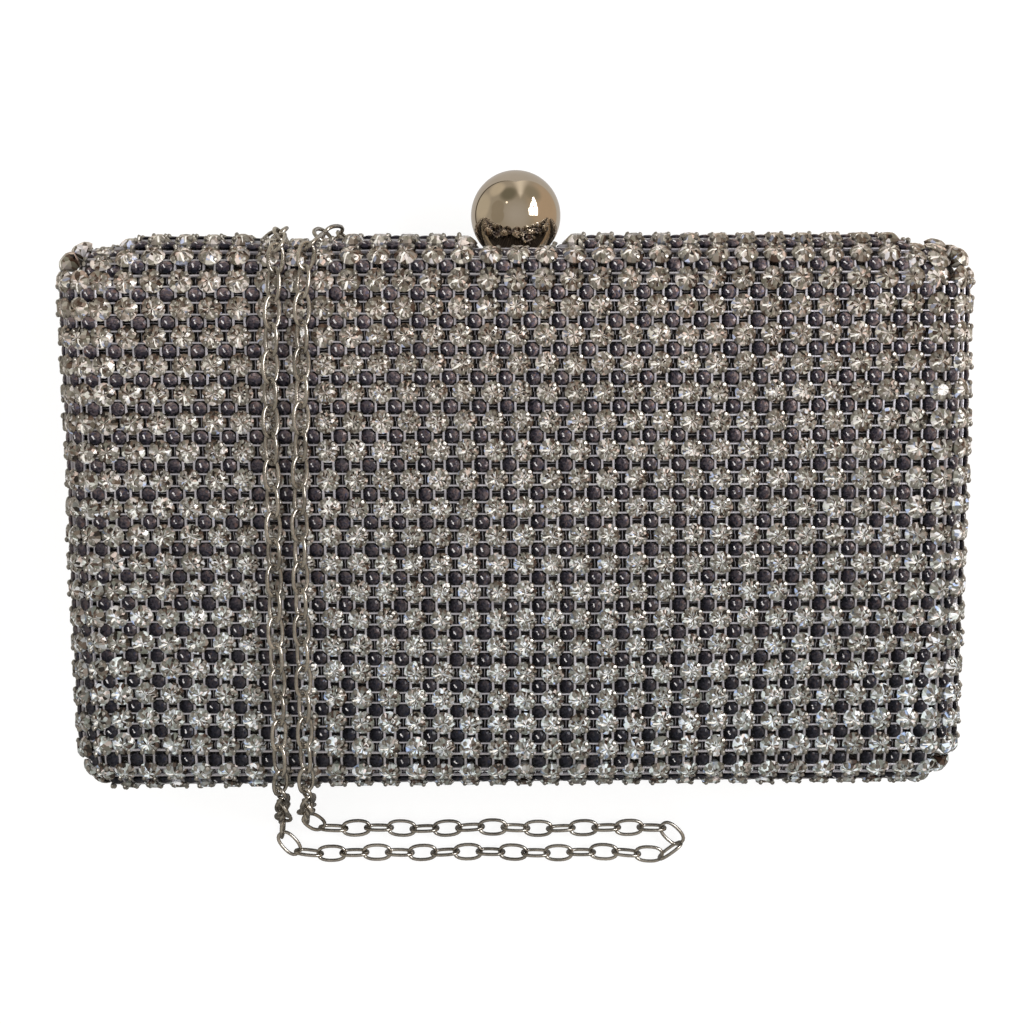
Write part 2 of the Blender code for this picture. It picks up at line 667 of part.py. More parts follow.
def chain_fixing(where, x, inward, axis):
    """A lug on the front frame's top and the jump ring through it."""
    base_low = FRAME_OUT_Y + FIT
    base = box(
        (x - LUG_BASE_LENGTH / 2, base_low, LUG_Z - LUG_BASE_WIDTH / 2),
        (x + LUG_BASE_LENGTH / 2, base_low + LUG_BASE_HEIGHT, LUG_Z + LUG_BASE_WIDTH / 2),
    )
    lug = add_object(f"chain_lug_{where}", base, "hardware", axis)
    join(lug, ring_of_wire((x, LUG_Y, LUG_Z), LUG_RING_RADIUS, RING_WIRE_RADIUS, (0, 0, 1)))
    centre = (x + inward * JUMP_RING_RADIUS, LUG_Y, LUG_Z)
    ring = ring_of_wire(centre, JUMP_RING_RADIUS, RING_WIRE_RADIUS, (0, 1, 0))
    add_object(f"jump_ring_{where}", ring, "chain", axis)


CHAIN_HALF = CHAIN_WIDTH / 2
FLOOR_Z = CHAIN_HALF + FIT / 3
FACE_Z = DEPTH + CHAIN_HALF + FIT
GROOVE_Y = FRAME_OUT_Y + CHAIN_HALF + FIT
GROOVE_Z = MID + SEAM - CHAIN_HALF - 2 * FIT
TOP_Y = HEIGHT / 2 + CHAIN_HALF + 2 * FIT
ARC_Y = HEIGHT / 2 - EDGE_RADIUS
ARC_Z = DEPTH - EDGE_RADIUS
ARC_REACH = EDGE_RADIUS + CHAIN_HALF + FIT
CHAIN_START = 2 * JUMP_RING_RADIUS + RING_WIRE_RADIUS + FIT


def over_edge(x, degrees, sy):
    """A place of the chain on the front's rounded edge, from the side wall at 0 degrees."""
    angle = math.radians(degrees)
    out = ARC_REACH * math.cos(angle)
    return (x, sy * (ARC_Y + out), ARC_Z + ARC_REACH * math.sin(angle))


# The route of each stretch of the chain, as it was laid. Each starts where the last one ends.
LEFT_STRAND = (
    (LUG_X[0] + CHAIN_START, GROOVE_Y, GROOVE_Z),
    (-60.5 * MM, GROOVE_Y, GROOVE_Z),
    (-57.5 * MM, GROOVE_Y + 0.8 * MM, GROOVE_Z),
    (-54.9 * MM, GROOVE_Y + 3.0 * MM, GROOVE_Z),
    (-53.0 * MM, TOP_Y + 0.4 * MM, GROOVE_Z + 2.0 * MM),
    (-51.8 * MM, TOP_Y + 0.5 * MM, GROOVE_Z + 5.5 * MM),
    over_edge(-51.0 * MM, 8, 1),
    over_edge(-50.6 * MM, 33, 1),
    over_edge(-50.7 * MM, 60, 1),
    (-51.1 * MM, ARC_Y, FACE_Z),
    (-52.2 * MM, 36.0 * MM, FACE_Z),
    (-52.6 * MM, 18.0 * MM, FACE_Z),
    (-52.6 * MM, 0.0, FACE_Z),
    (-52.8 * MM, -20.0 * MM, FACE_Z),
    (-52.6 * MM, -40.0 * MM, FACE_Z),
    (-52.7 * MM, -ARC_Y, FACE_Z),
    over_edge(-52.8 * MM, 70, -1),
    over_edge(-53.0 * MM, 50, -1),
    over_edge(-53.5 * MM, 30, -1),
    (-54.1 * MM, -66.4 * MM, 31.0 * MM),
)
LEFT_DROP = (
    (-55.2 * MM, -69.8 * MM, 24.0 * MM),
    (-56.3 * MM, -73.2 * MM, 17.0 * MM),
    (-57.3 * MM, -76.2 * MM, 11.0 * MM),
)
FLOOR_RUN = (
    (-58.2 * MM, -79.0 * MM, 5.9 * MM),
    (-58.8 * MM, -82.0 * MM, 3.2 * MM),
    (-58.5 * MM, -85.0 * MM, FLOOR_Z),
    (-56.9 * MM, -87.5 * MM, FLOOR_Z),
    (-54.2 * MM, -88.9 * MM, FLOOR_Z),
    (-49.0 * MM, -89.4 * MM, FLOOR_Z),
    (-38.0 * MM, -89.2 * MM, FLOOR_Z),
    (-24.0 * MM, -89.4 * MM, FLOOR_Z),
    (-8.0 * MM, -89.3 * MM, FLOOR_Z),
    (8.0 * MM, -89.8 * MM, FLOOR_Z),
    (22.0 * MM, -89.6 * MM, FLOOR_Z),
    (32.0 * MM, -90.2 * MM, FLOOR_Z),
    (36.8 * MM, -90.4 * MM, FLOOR_Z),
    (39.4 * MM, -89.4 * MM, FLOOR_Z),
    (40.5 * MM, -87.0 * MM, FLOOR_Z),
    (39.4 * MM, -84.6 * MM, FLOOR_Z),
    (36.8 * MM, -83.5 * MM, FLOOR_Z),
    (32.0 * MM, -83.3 * MM, FLOOR_Z),
    (20.0 * MM, -83.2 * MM, FLOOR_Z),
    (6.0 * MM, -83.3 * MM, FLOOR_Z),
    (-8.0 * MM, -82.8 * MM, FLOOR_Z),
    (-22.0 * MM, -83.1 * MM, FLOOR_Z),
    (-36.0 * MM, -82.7 * MM, FLOOR_Z),
    (-44.0 * MM, -82.8 * MM, FLOOR_Z),
    (-48.4 * MM, -82.4 * MM, 2.6 * MM),
    (-50.9 * MM, -80.7 * MM, 3.6 * MM),
    (-52.0 * MM, -78.2 * MM, 6.2 * MM),
    (-51.8 * MM, -75.6 * MM, 10.6 * MM),
)
RIGHT_DROP = (
    (-51.1 * MM, -73.3 * MM, 15.3 * MM),
    (-50.2 * MM, -71.0 * MM, 20.4 * MM),
    (-49.2 * MM, -68.7 * MM, 25.8 * MM),
)
RIGHT_STRAND = (
    (-48.3 * MM, -66.4 * MM, 31.2 * MM),
    over_edge(-47.6 * MM, 30, -1),
    over_edge(-47.3 * MM, 50, -1),
    over_edge(-47.1 * MM, 70, -1),
    (-47.0 * MM, -ARC_Y, FACE_Z),
    (-47.0 * MM, -38.0 * MM, FACE_Z),
    (-47.1 * MM, -20.0 * MM, FACE_Z),
    (-47.0 * MM, -2.0 * MM, FACE_Z),
    (-46.7 * MM, 10.0 * MM, FACE_Z),
    (-46.0 * MM, 24.0 * MM, FACE_Z),
    (-45.5 * MM, 40.0 * MM, FACE_Z),
    (-45.0 * MM, ARC_Y, FACE_Z),
    over_edge(-44.4 * MM, 60, 1),
    over_edge(-43.4 * MM, 33, 1),
    over_edge(-42.2 * MM, 8, 1),
    (-40.9 * MM, TOP_Y + 0.5 * MM, GROOVE_Z + 5.0 * MM),
    (-39.0 * MM, TOP_Y + 0.4 * MM, GROOVE_Z + 2.0 * MM),
    (-37.0 * MM, GROOVE_Y + 3.0 * MM, GROOVE_Z),
    (-34.4 * MM, GROOVE_Y + 0.8 * MM, GROOVE_Z),
    (-31.5 * MM, GROOVE_Y, GROOVE_Z),
    (LUG_X[1] - CHAIN_START, GROOVE_Y, GROOVE_Z),
)


def smooth_stretches(stretches):
    """Closely spaced points on one smooth curve through all the stretches, one list for each."""
    points = [Vector(point) for stretch in stretches for point in stretch]
    points = [2 * points[0] - points[1], *points, 2 * points[-1] - points[-2]]
    spans = []
    for a, b, c, d in zip(points, points[1:], points[2:], points[3:]):
        knots = [0.0]
        for first, second in ((a, b), (b, c), (c, d)):
            knots.append(knots[-1] + math.sqrt((second - first).length))
        pieces = max(2, math.ceil((c - b).length / CHAIN_FINE_STEP * POINTS_A_STEP))
        at = [knots[1] + (knots[2] - knots[1]) * step / pieces for step in range(pieces)]
        spans.append([on_spline((a, b, c, d), knots, t) for t in at])
    curves, done = [], 0
    for number, stretch in enumerate(stretches):
        upto = done + len(stretch) - (number == 0)
        curve = [point for span in spans[done:upto] for point in span]
        end = spans[upto][0] if upto < len(spans) else points[-2]
        curves.append(curve + [end])
        done = upto
    return curves


def on_spline(points, knots, t):
    """A point of a centripetal spline between its second and third points."""

    def between(p, q, low, high):
        return p * ((high - t) / (high - low)) + q * ((t - low) / (high - low))

    a, b, c, d = points
    k0, k1, k2, k3 = knots
    ab, bc, cd = between(a, b, k0, k1), between(b, c, k1, k2), between(c, d, k2, k3)
    return between(between(ab, bc, k0, k2), between(bc, cd, k1, k3), k1, k2)


def thinned(curve):
    """Keeps points where the curve bends, and few where it is nearly straight."""
    kept, heading = [curve[0]], (curve[1] - curve[0]).normalized()
    for before, point in zip(curve, curve[1:-1]):
        gone = (point - kept[-1]).length
        now = (point - before).normalized()
        bent = now.angle(heading) > CHAIN_FLAT_TURN
        if gone > CHAIN_STEP or (bent and gone > CHAIN_FINE_STEP):
            kept.append(point)
            heading = now
    if (curve[-1] - kept[-1]).length < CHAIN_FINE_STEP / 2:
        kept.pop()
    return kept + [curve[-1]]


def pulled_back(curve, start, end):
    """The curve without a length at its start and at its end."""
    for amount in (start, end):
        gone = 0.0
        while gone < amount:
            step = (curve[1] - curve[0]).length
            if gone + step > amount:
                curve[0] = curve[0].lerp(curve[1], (amount - gone) / step)
                break
            gone += step
            curve.pop(0)
        curve.reverse()
    return curve


def chain_stretch(name, curve, start_gap, end_gap, axis):
    """One stretch of the chain as a tube as wide as its links."""
    points = thinned(pulled_back(curve, start_gap, end_gap))
    data = bpy.data.curves.new(name, "CURVE")
    data.dimensions = "3D"
    data.bevel_depth = CHAIN_HALF
    data.bevel_resolution = 2
    data.use_fill_caps = True
    spline = data.splines.new("POLY")
    spline.points.add(len(points) - 1)
    for place, point in zip(spline.points, points):
        place.co = (*point, 1.0)
    add_object(name, data, "chain", axis)


def chain(axis):
    """The chain, from one lug over the front to the floor and back to the other lug."""
    gap = FIT * 2 / 3
    stretches = (LEFT_STRAND, LEFT_DROP, FLOOR_RUN, RIGHT_DROP, RIGHT_STRAND)
    left, left_drop, floor, right_drop, right = smooth_stretches(stretches)
    chain_stretch("chain_left_strand", left, 0, gap, axis)
    chain_stretch("chain_left_drop", left_drop, gap, gap, None)
    chain_stretch("chain_floor_run", floor, gap, gap, None)
    chain_stretch("chain_right_drop", right_drop, gap, gap, None)
    chain_stretch("chain_right_strand", right, gap, 0, axis)


def joint_axis(name, y):
    """An empty on a joint's axis, which carries the pieces that turn about it."""
    axis = bpy.data.objects.new(name, None)
    bpy.context.scene.collection.objects.link(axis)
    axis.location = (0, y, MID)
    return axis


def main():
    clear_scene()
    lid_axis = joint_axis("lid_axis", HINGE_Y)
    latch_axis = joint_axis("latch_axis", PIVOT_Y)
    rear_frame = half("rear", -1, None)
    front_frame = half("front", 1, lid_axis)
    hinges(lid_axis)
    striker(front_frame, lid_axis)
    bracket(rear_frame)
    latch_spring()
    ball_latch(latch_axis)
    for where, x, inward in (("left", LUG_X[0], 1), ("right", LUG_X[1], -1)):
        chain_fixing(where, x, inward, lid_axis)
    chain(lid_axis)


main()
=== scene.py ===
"""The looks of the box clutch: crystal net, ball clasp, cable chain, frames and lining.

The bag lies on its back on a pale floor. +X runs to its right, +Y towards the clasp and +Z
out of its front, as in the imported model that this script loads.
"""

import logging
import math
from dataclasses import dataclass
from enum import Enum
from typing import Iterable, Sequence, Union

import bmesh
import bpy
import numpy as np
from mathutils import Matrix, Vector


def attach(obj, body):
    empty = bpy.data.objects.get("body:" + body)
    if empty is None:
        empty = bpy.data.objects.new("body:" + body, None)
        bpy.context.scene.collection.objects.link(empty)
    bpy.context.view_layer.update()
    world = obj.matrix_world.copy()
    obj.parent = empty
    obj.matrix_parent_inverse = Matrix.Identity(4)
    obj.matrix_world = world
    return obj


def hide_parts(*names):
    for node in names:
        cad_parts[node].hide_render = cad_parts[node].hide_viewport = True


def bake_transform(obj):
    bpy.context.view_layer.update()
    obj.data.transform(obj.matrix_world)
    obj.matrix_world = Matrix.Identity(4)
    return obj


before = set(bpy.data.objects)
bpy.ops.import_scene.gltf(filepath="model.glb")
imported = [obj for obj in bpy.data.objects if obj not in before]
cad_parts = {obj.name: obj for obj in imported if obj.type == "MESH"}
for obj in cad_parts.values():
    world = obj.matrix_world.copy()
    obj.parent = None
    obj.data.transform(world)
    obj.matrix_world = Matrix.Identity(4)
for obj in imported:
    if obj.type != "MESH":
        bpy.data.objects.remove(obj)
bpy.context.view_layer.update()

LOG = logging.getLogger("clutch")
MM = 0.001
QUARTER = math.pi / 2
Span = tuple[float, float]
Point = tuple[float, float, float]
Colour = tuple[float, float, float]
Number = Union["Value", float]


class Body(str, Enum):
    """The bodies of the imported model."""

    REAR = "rear_half"
    FRONT = "front_half"
    LATCH = "ball_latch"


class Side(Enum):
    """Which half of the box, as the sign of Z from the seam."""

    FRONT = 1
    REAR = -1

    @property
    def word(self) -> str:
        """The half's name in the names of its pieces."""
        return self.name.lower()

    @property
    def body(self) -> Body:
        """The body that the half's pieces ride on."""
        return Body.FRONT if self is Side.FRONT else Body.REAR

    @property
    def flip(self) -> Vector:
        """What turns a place on the front into one on this half."""
        return Vector((1, 1, self.value))


class Value:
    """What a socket gives, to be reckoned with like a number."""

    def __init__(self, desk: "NodeDesk", socket: bpy.types.NodeSocket) -> None:
        """Args: desk: where new nodes go; socket: what gives the value."""
        self.desk = desk
        self.socket = socket

    def __add__(self, other: Number) -> "Value":
        """The sum."""
        return self.desk.maths("ADD", self, other)

    def __sub__(self, other: Number) -> "Value":
        """The difference."""
        return self.desk.maths("SUBTRACT", self, other)

    def __rsub__(self, other: float) -> "Value":
        """What is left of a number."""
        return self.desk.maths("SUBTRACT", other, self)

    def __mul__(self, other: Number) -> "Value":
        """The product."""
        return self.desk.maths("MULTIPLY", self, other)

    def __truediv__(self, other: Number) -> "Value":
        """The quotient."""
        return self.desk.maths("DIVIDE", self, other)

    def __abs__(self) -> "Value":
        """The size without its sign."""
        return self.desk.maths("ABSOLUTE", self)

    def __lt__(self, other: Number) -> "Value":
        """One where it is less, or else nothing."""
        return self.desk.maths("LESS_THAN", self, other)

    def __gt__(self, other: Number) -> "Value":
        """One where it is more, or else nothing."""
        return self.desk.maths("GREATER_THAN", self, other)


class NodeDesk:
    """Lays nodes in a tree and joins their sockets."""

    def __init__(self, tree: bpy.types.NodeTree) -> None:
        """Args: tree: the tree to lay nodes in."""
        self.tree = tree

    def feed(self, node: bpy.types.Node, inputs: dict) -> bpy.types.Node:
        """Fills a node's inputs.

        Args:
            node: The node.
            inputs: Socket name or number to a plain value, or to the value that feeds it.

        Returns:
            The node.
        """
        for key, value in inputs.items():
            if isinstance(value, Value):
                self.tree.links.new(value.socket, node.inputs[key])
            else:
                node.inputs[key].default_value = value
        return node

    def add(self, kind: str, inputs: dict | None = None, **settings: object) -> bpy.types.Node:
        """Adds a node.

        Args:
            kind: The node's type name.
            inputs: What fills its inputs.
            settings: The node's own properties.

        Returns:
            The new node.
        """
        node = self.tree.nodes.new(kind)
        for name, value in settings.items():
            setattr(node, name, value)
        return self.feed(node, inputs or {})

    def value(
        self, kind: str, inputs: dict | None = None, output: int | str = 0, **settings: object
    ) -> Value:
        """Adds a node as add does, and takes one of its outputs."""
        return Value(self, self.add(kind, inputs, **settings).outputs[output])

    def maths(self, operation: str, a: Number, b: Number = 0.0) -> Value:
        """Works out one number from two."""
        return self.value("ShaderNodeMath", {0: a, 1: b}, operation=operation)

    def fit(self, value: Value, start: Span, end: Span = (0.0, 1.0), way: str = "LINEAR") -> Value:
        """Lays the value's span over another one, and keeps it within that."""
        inputs = {0: value, 1: start[0], 2: start[1], 3: end[0], 4: end[1]}
        return self.value("ShaderNodeMapRange", inputs, interpolation_type=way)

    def parts(self, vector: Value) -> list[Value]:
        """A vector's three numbers."""
        return [Value(self, socket) for socket in self.add("ShaderNodeSeparateXYZ", {0: vector}).outputs]

    def vector(self, x: Number, y: Number, z: Number) -> Value:
        """A vector of three numbers."""
        return self.value("ShaderNodeCombineXYZ", {0: x, 1: y, 2: z})

    def vectors(self, operation: str, a: Value, b: Sequence[float] = (0.0, 0.0, 0.0)) -> Value:
        """Works out one vector, or the product of two as a number."""
        output = "Value" if operation == "DOT_PRODUCT" else 0
        return self.value("ShaderNodeVectorMath", {0: a, 1: b}, output, operation=operation)

    def scaled(self, vector: Value, share: Number) -> Value:
        """A vector times a number."""
        return self.value("ShaderNodeVectorMath", {0: vector, "Scale": share}, operation="SCALE")

    def place(self) -> Value:
        """Where a point lies on the object, in metres."""
        return self.value("ShaderNodeTexCoord", output="Object")

    def noise(self, place: Value, scale: float, detail: float) -> Value:
        """Cloudy noise."""
        return self.value("ShaderNodeTexNoise", {"Vector": place, "Scale": scale, "Detail": detail})

    def bump(self, strength: float, height: Value) -> Value:
        """The lean of the surface over a relief of a tenth of a millimetre."""
        return self.value("ShaderNodeBump", {"Strength": strength, "Distance": 0.1 * MM, "Height": height})

    def blend(self, way: str, a: Value | Sequence, b: Value | Sequence, share: Number = 1.0) -> Value:
        """Mixes two colours.

        Args:
            way: The Mix node's blend type.
            a: The first colour.
            b: The second colour, with its alpha where it is plain.
            share: How much of the second is taken.

        Returns:
            The colour.
        """
        return self.value("ShaderNodeMix", {0: share, 6: a, 7: b}, 2, data_type="RGBA", blend_type=way)

    def ramp(self, value: Value, stops: Sequence[tuple[float, Colour]], step: bool = False) -> Value:
        """Turns a value into a colour.

        Args:
            value: The value to read.
            stops: Places and their linear colours, in order.
            step: Whether the colours change in steps.

        Returns:
            The colour.
        """
        node = self.add("ShaderNodeValToRGB", {0: value})
        bar = node.color_ramp
        bar.interpolation = "CONSTANT" if step else "LINEAR"
        while len(bar.elements) > 1:
            bar.elements.remove(bar.elements[-1])
        bar.elements[0].position = stops[0][0]
        bar.elements[0].color = (*stops[0][1], 1.0)
        for place, colour in stops[1:]:
            bar.elements.new(place).color = (*colour, 1.0)
        return Value(self, node.outputs[0])


def dimmed(colour: Colour, share: float) -> Colour:
    """A colour with its light taken times a share."""
    return tuple(c * share for c in colour)


class Finish:
    """A surface finish that can make its own material."""

    name: str

    def material(self) -> bpy.types.Material:
        """The finish's one material, made at its first use."""
        material = bpy.data.materials.get(self.name)
        if not material:
            material = bpy.data.materials.new(self.name)
            material.use_nodes = True
            desk = NodeDesk(material.node_tree)
            desk.feed(desk.tree.nodes["Principled BSDF"], self.looks(desk))
        return material

    def looks(self, desk: NodeDesk) -> dict[str, object]:
        """What fills the shader's sockets.

        Args:
            desk: What builds the material's nodes.

        Returns:
            A value or socket for each shader input.
        """
        raise NotImplementedError


@dataclass(frozen=True)
class MetalFinish(Finish):
    """Plated metal with fine scratches and a little tarnish."""

    name: str
    colour: Colour
    roughness: float = 0.25
    grain: float = 900.0
    stretch: Point = (1.0, 1.0, 1.0)
    relief: float = 0.05
    tarnish: float = 0.25
    metallic: float = 1.0
    stains: float = 140.0
    scratched: float = 0.35
    stained: Span = (0.35, 0.62)
    worn: Span = (0.3, 0.7)
    rough_shares: Span = (0.7, 1.35)

    def looks(self, desk: NodeDesk) -> dict[str, object]:
        """What fills the shader's sockets.

        Args:
            desk: What builds the material's nodes.

        Returns:
            A value or socket for each shader input.
        """
        place = desk.place()
        drawn = desk.value("ShaderNodeMapping", {0: place, "Scale": self.stretch})
        fine = desk.noise(drawn, self.grain, 3.0)
        mixed = fine * self.scratched + desk.noise(place, self.stains, 4.0) * (1.0 - self.scratched)
        colours = zip(self.stained, (dimmed(self.colour, 1.0 - self.tarnish), self.colour))
        rough = [self.roughness * share for share in self.rough_shares]
        return {
            "Metallic": self.metallic,
            "Base Color": desk.ramp(mixed, list(colours)),
            "Roughness": desk.fit(mixed, self.worn, rough),
            "Normal": desk.bump(self.relief, fine),
        }


@dataclass(frozen=True)
class CrystalFinish(Finish):
    """Foil-backed cut stone, its colour painted reflections: spots of light and dark round its centre, and
    one painted highlight.

    The light spots are painted on the side towards the window, so their side changes over the bag. A
    painted tone of light makes the stones cooler at the bottom and warmer towards the clasp, and their
    spots are broader towards the edges.
    """

    name: str
    flecks: tuple[tuple[float, Colour], ...]
    wedges: float = 13.0
    rings: float = 4.6
    broad: float = 0.55
    bias: float = 0.46
    cool: Colour = (0.74, 0.82, 0.96)
    warm: Colour = (0.67, 0.63, 0.645)
    coat: float = 0.4
    ior: float = 1.5
    # The painted highlight: its width, where it starts and ends, the share of stones with it, that share at
    # the bottom, its colour and its own line.
    streak: float = 0.060
    streak_start: float = 0.06
    streak_end: float = 0.42
    streak_share: float = 0.62
    streak_low: float = 1.0
    streak_colour: Colour = (1.0, 0.985, 0.95)
    streak_line: tuple[float, float, float, float] | None = None
    spread: float = 1.0
    brown: float = 0.7
    half_bag: Span = (100.0 * MM, 61.5 * MM)
    rim: Span = (0.55, 0.95)
    heights: Span = (-45.0 * MM, 45.0 * MM)
    lefts: Span = (0.0, -60.0 * MM)
    upward: float = 0.20
    slant: float = 0.35
    unlike: float = 0.10
    scatter: float = 0.9
    own_cells: float = 97.0
    own_luck: float = 7.31
    tints: tuple[tuple[float, Colour], ...] = (
        (0.0, (1.04, 0.86, 0.75)),
        (0.12, (1.01, 0.955, 0.89)),
        (0.34, (1.0, 1.0, 0.985)),
        (0.62, (0.965, 1.0, 0.91)),
        (0.90, (0.94, 0.99, 1.05)),
        (1.08, (0.70, 0.84, 1.16)),
    )

    def looks(self, desk: NodeDesk) -> dict[str, object]:
        """What fills the shader's sockets.

        Args:
            desk: What builds the material's nodes.

        Returns:
            A value or socket for each shader input.
        """
        cut = desk.value("ShaderNodeUVMap", uv_map="cut")
        x, y, _ = desk.parts(desk.vectors("SUBTRACT", cut, (0.5, 0.5, 0.0)))
        gem = desk.value("ShaderNodeAttribute", output="Fac", attribute_name="gem")
        bag_x, bag_y, _ = desk.parts(desk.place())
        # Painted reflections: cells of light and dark round the stone's middle, broader towards the bag's
        # edges.
        rim = desk.maths("MAXIMUM", abs(bag_x) / self.half_bag[0], abs(bag_y) / self.half_bag[1])
        broad = desk.fit(rim, self.rim, (1.0, self.broad))
        turn = desk.maths("ARCTAN2", y, x) * (self.wedges / math.pi) * broad
        reach = desk.maths("SQRT", x * x + y * y) * (2 * self.rings) * broad
        spot = desk.vector(turn, reach, gem * self.own_cells)
        cells = {"Vector": spot, "Scale": 1.0, "Randomness": self.scatter}
        light, hue, width = desk.parts(desk.value("ShaderNodeTexVoronoi", cells, "Color"))
        # Painted light: the light spots lean towards the window, and the way they lean turns near the bag's
        # upper left corner.
        high = desk.fit(bag_y, self.heights)
        corner = high * desk.fit(bag_x, self.lefts)
        along = x * (corner - 1.0) + y * (corner * (self.upward - 1.0) - self.upward)
        lean = along * self.bias
        drawn = light * self.spread + (0.5 - self.spread / 2)
        fleck = desk.ramp(drawn + lean + (gem - 0.5) * self.unlike, self.flecks, step=True)
        # Painted tint of the reflections for each cell, moved with the lean towards the light.
        tint = desk.ramp(hue + lean * self.brown, self.tints, step=True)
        # Painted tone of light over the bag: cooler at the bottom, warmer towards the clasp.
        tone = desk.ramp(high, [(0.0, self.cool), (1.0, self.warm)])
        stone = desk.blend("MULTIPLY", desk.blend("MULTIPLY", fleck, tint), tone)
        # Painted highlight: a pale line mixed into the colour of a share of the stones.
        kept = self.streaked(desk, (x, y), (along, corner), width)
        share = desk.fit(high, (0.0, 1.0), (self.streak_share * self.streak_low, self.streak_share))
        kept = kept * (desk.maths("FRACT", gem * self.own_luck) < share)
        return {
            "Roughness": 0.08,
            "Metallic": 0.1,
            "Coat Weight": self.coat,
            "Coat Roughness": 0.02,
            "IOR": self.ior,
            "Base Color": desk.blend("MIX", stone, (*self.streak_colour, 1.0), kept),
        }

    def streaked(self, desk: NodeDesk, spot: Sequence[Value], lie: Sequence[Value], width: Value) -> Value:
        """Where the painted highlight lies, on its own line or else towards the light.

        Args:
            desk: Where the nodes go.
            spot: The place on the stone, from its middle.
            lie: How far towards the light it is, and how near the bag's window corner.
            width: A random number for each cell.

        Returns:
            One on the painted highlight, or else nothing.
        """
        x, y = spot
        if self.streak_line:
            from_x, from_y, way_x, way_y = self.streak_line
            aside = x * way_y - y * way_x - (from_x * way_y - from_y * way_x)
            run = x * way_x + y * way_y - (from_x * way_x + from_y * way_y)
        else:
            run, corner = lie
            aside = desk.value("ShaderNodeMix", {0: corner, 2: y - x * self.slant, 3: x * -1.0})
        kept = abs(aside) < width * self.streak
        return kept * (run > self.streak_start) * (run < self.streak_end)


@dataclass(frozen=True)
class ClothFinish(Finish):
    """Woven cloth with a slight sheen."""

    name: str
    colour: Colour
    thread: float = 0.5 * MM
    sheen: float = 0.3
    roughness: float = 0.75
    relief: float = 0.5
    dim: float = 0.6
    mottle: float = 60.0
    woven: float = 0.3
    shades: Span = (0.25, 0.8)

    def looks(self, desk: NodeDesk) -> dict[str, object]:
        """What fills the shader's sockets.

        Args:
            desk: What builds the material's nodes.

        Returns:
            A value or socket for each shader input.
        """
        place = desk.place()
        x, y, z = desk.parts(place)
        turns = math.pi / self.thread
        weave = desk.maths("SINE", (x + z) * turns) * desk.maths("SINE", (y - z) * turns)
        mixed = weave * self.woven + desk.noise(place, self.mottle, 3.0)
        colours = zip(self.shades, (dimmed(self.colour, self.dim), dimmed(self.colour, 2 - self.dim)))
        return {
            "Roughness": self.roughness,
            "Sheen Weight": self.sheen,
            "Sheen Roughness": 0.35,
            "Base Color": desk.ramp(mixed, list(colours)),
            "Normal": desk.bump(self.relief, weave),
        }


# The crystals: painted reflections in steps from near black through brown and grey to white.
CRYSTAL = CrystalFinish(
    "foiled_crystal",
    (
        (0.0, (0.014, 0.009, 0.006)),
        (0.07, (0.078, 0.046, 0.032)),
        (0.17, (0.155, 0.128, 0.100)),
        (0.32, (0.238, 0.226, 0.186)),
        (0.48, (0.345, 0.325, 0.285)),
        (0.645, (0.515, 0.490, 0.450)),
        (0.795, (0.86, 0.84, 0.80)),
        (0.905, (1.12, 1.10, 1.07)),
    ),
)
# The dark studs: painted reflections, painted shade that darkens them towards the bottom, and a painted
# highlight line on most of them near the clasp, fewer at the bottom.
DARK_STONE = CrystalFinish(
    "dark_stone",
    (
        (0.0, (0.004, 0.005, 0.009)),
        (0.20, (0.018, 0.017, 0.025)),
        (0.42, (0.052, 0.047, 0.057)),
        (0.66, (0.106, 0.087, 0.092)),
        (0.86, (0.160, 0.132, 0.136)),
        (1.0, (0.24, 0.21, 0.215)),
    ),
    wedges=6.0,
    rings=3.0,
    broad=0.9,
    bias=-0.75,
    cool=(0.26, 0.30, 0.37),
    warm=(1.42, 1.34, 1.37),
    coat=0.0,
    ior=1.24,
    streak=0.085,
    streak_start=-0.19,
    streak_end=0.15,
    streak_share=0.85,
    streak_low=0.35,
    streak_colour=(0.66, 0.65, 0.68),
    streak_line=(-0.11, 0.03, 0.50, -0.866),
    spread=0.42,
    brown=0.3,
)
BAR_METAL = MetalFinish("bar_metal", (0.71, 0.70, 0.78), 0.38, 1500.0, (1, 1, 1), 0.08, 0.35, 0.88)
CLAW_METAL = MetalFinish("claw_metal", (0.45, 0.43, 0.40), 0.34, 1500.0, (1, 1, 1), 0.05, 0.35, 0.92)
CHAIN_NICKEL = MetalFinish("chain_nickel", (0.66, 0.62, 0.57), 0.21, 1600.0, tarnish=0.58)
BALL_MIRROR = MetalFinish("ball_mirror", (0.66, 0.565, 0.45), 0.035, 500.0, relief=0.0, tarnish=0.06)
FRAME_NICKEL = MetalFinish("frame_nickel", (0.56, 0.52, 0.47), 0.26, 2200.0, (0.04, 1.0, 1.0), 0.06, 0.15)
HARDWARE_NICKEL = MetalFinish("hardware_nickel", (0.50, 0.48, 0.45), 0.30, 1800.0)
SPRING_STEEL = MetalFinish("spring_steel", (0.30, 0.31, 0.33), 0.24, 1800.0, (0.1, 1.0, 1.0), 0.05, 0.2)
BACKING = ClothFinish("black_backing", (0.046, 0.041, 0.041), 0.4 * MM, 0.05, 0.85, 0.4, 0.15)
SATIN = ClothFinish("satin_lining", (0.022, 0.019, 0.024), 0.3 * MM, 0.6, 0.42, 0.25)
BOARD = ClothFinish("black_board", (0.030, 0.030, 0.033), 0.9 * MM, 0.0, 0.6, 0.15)


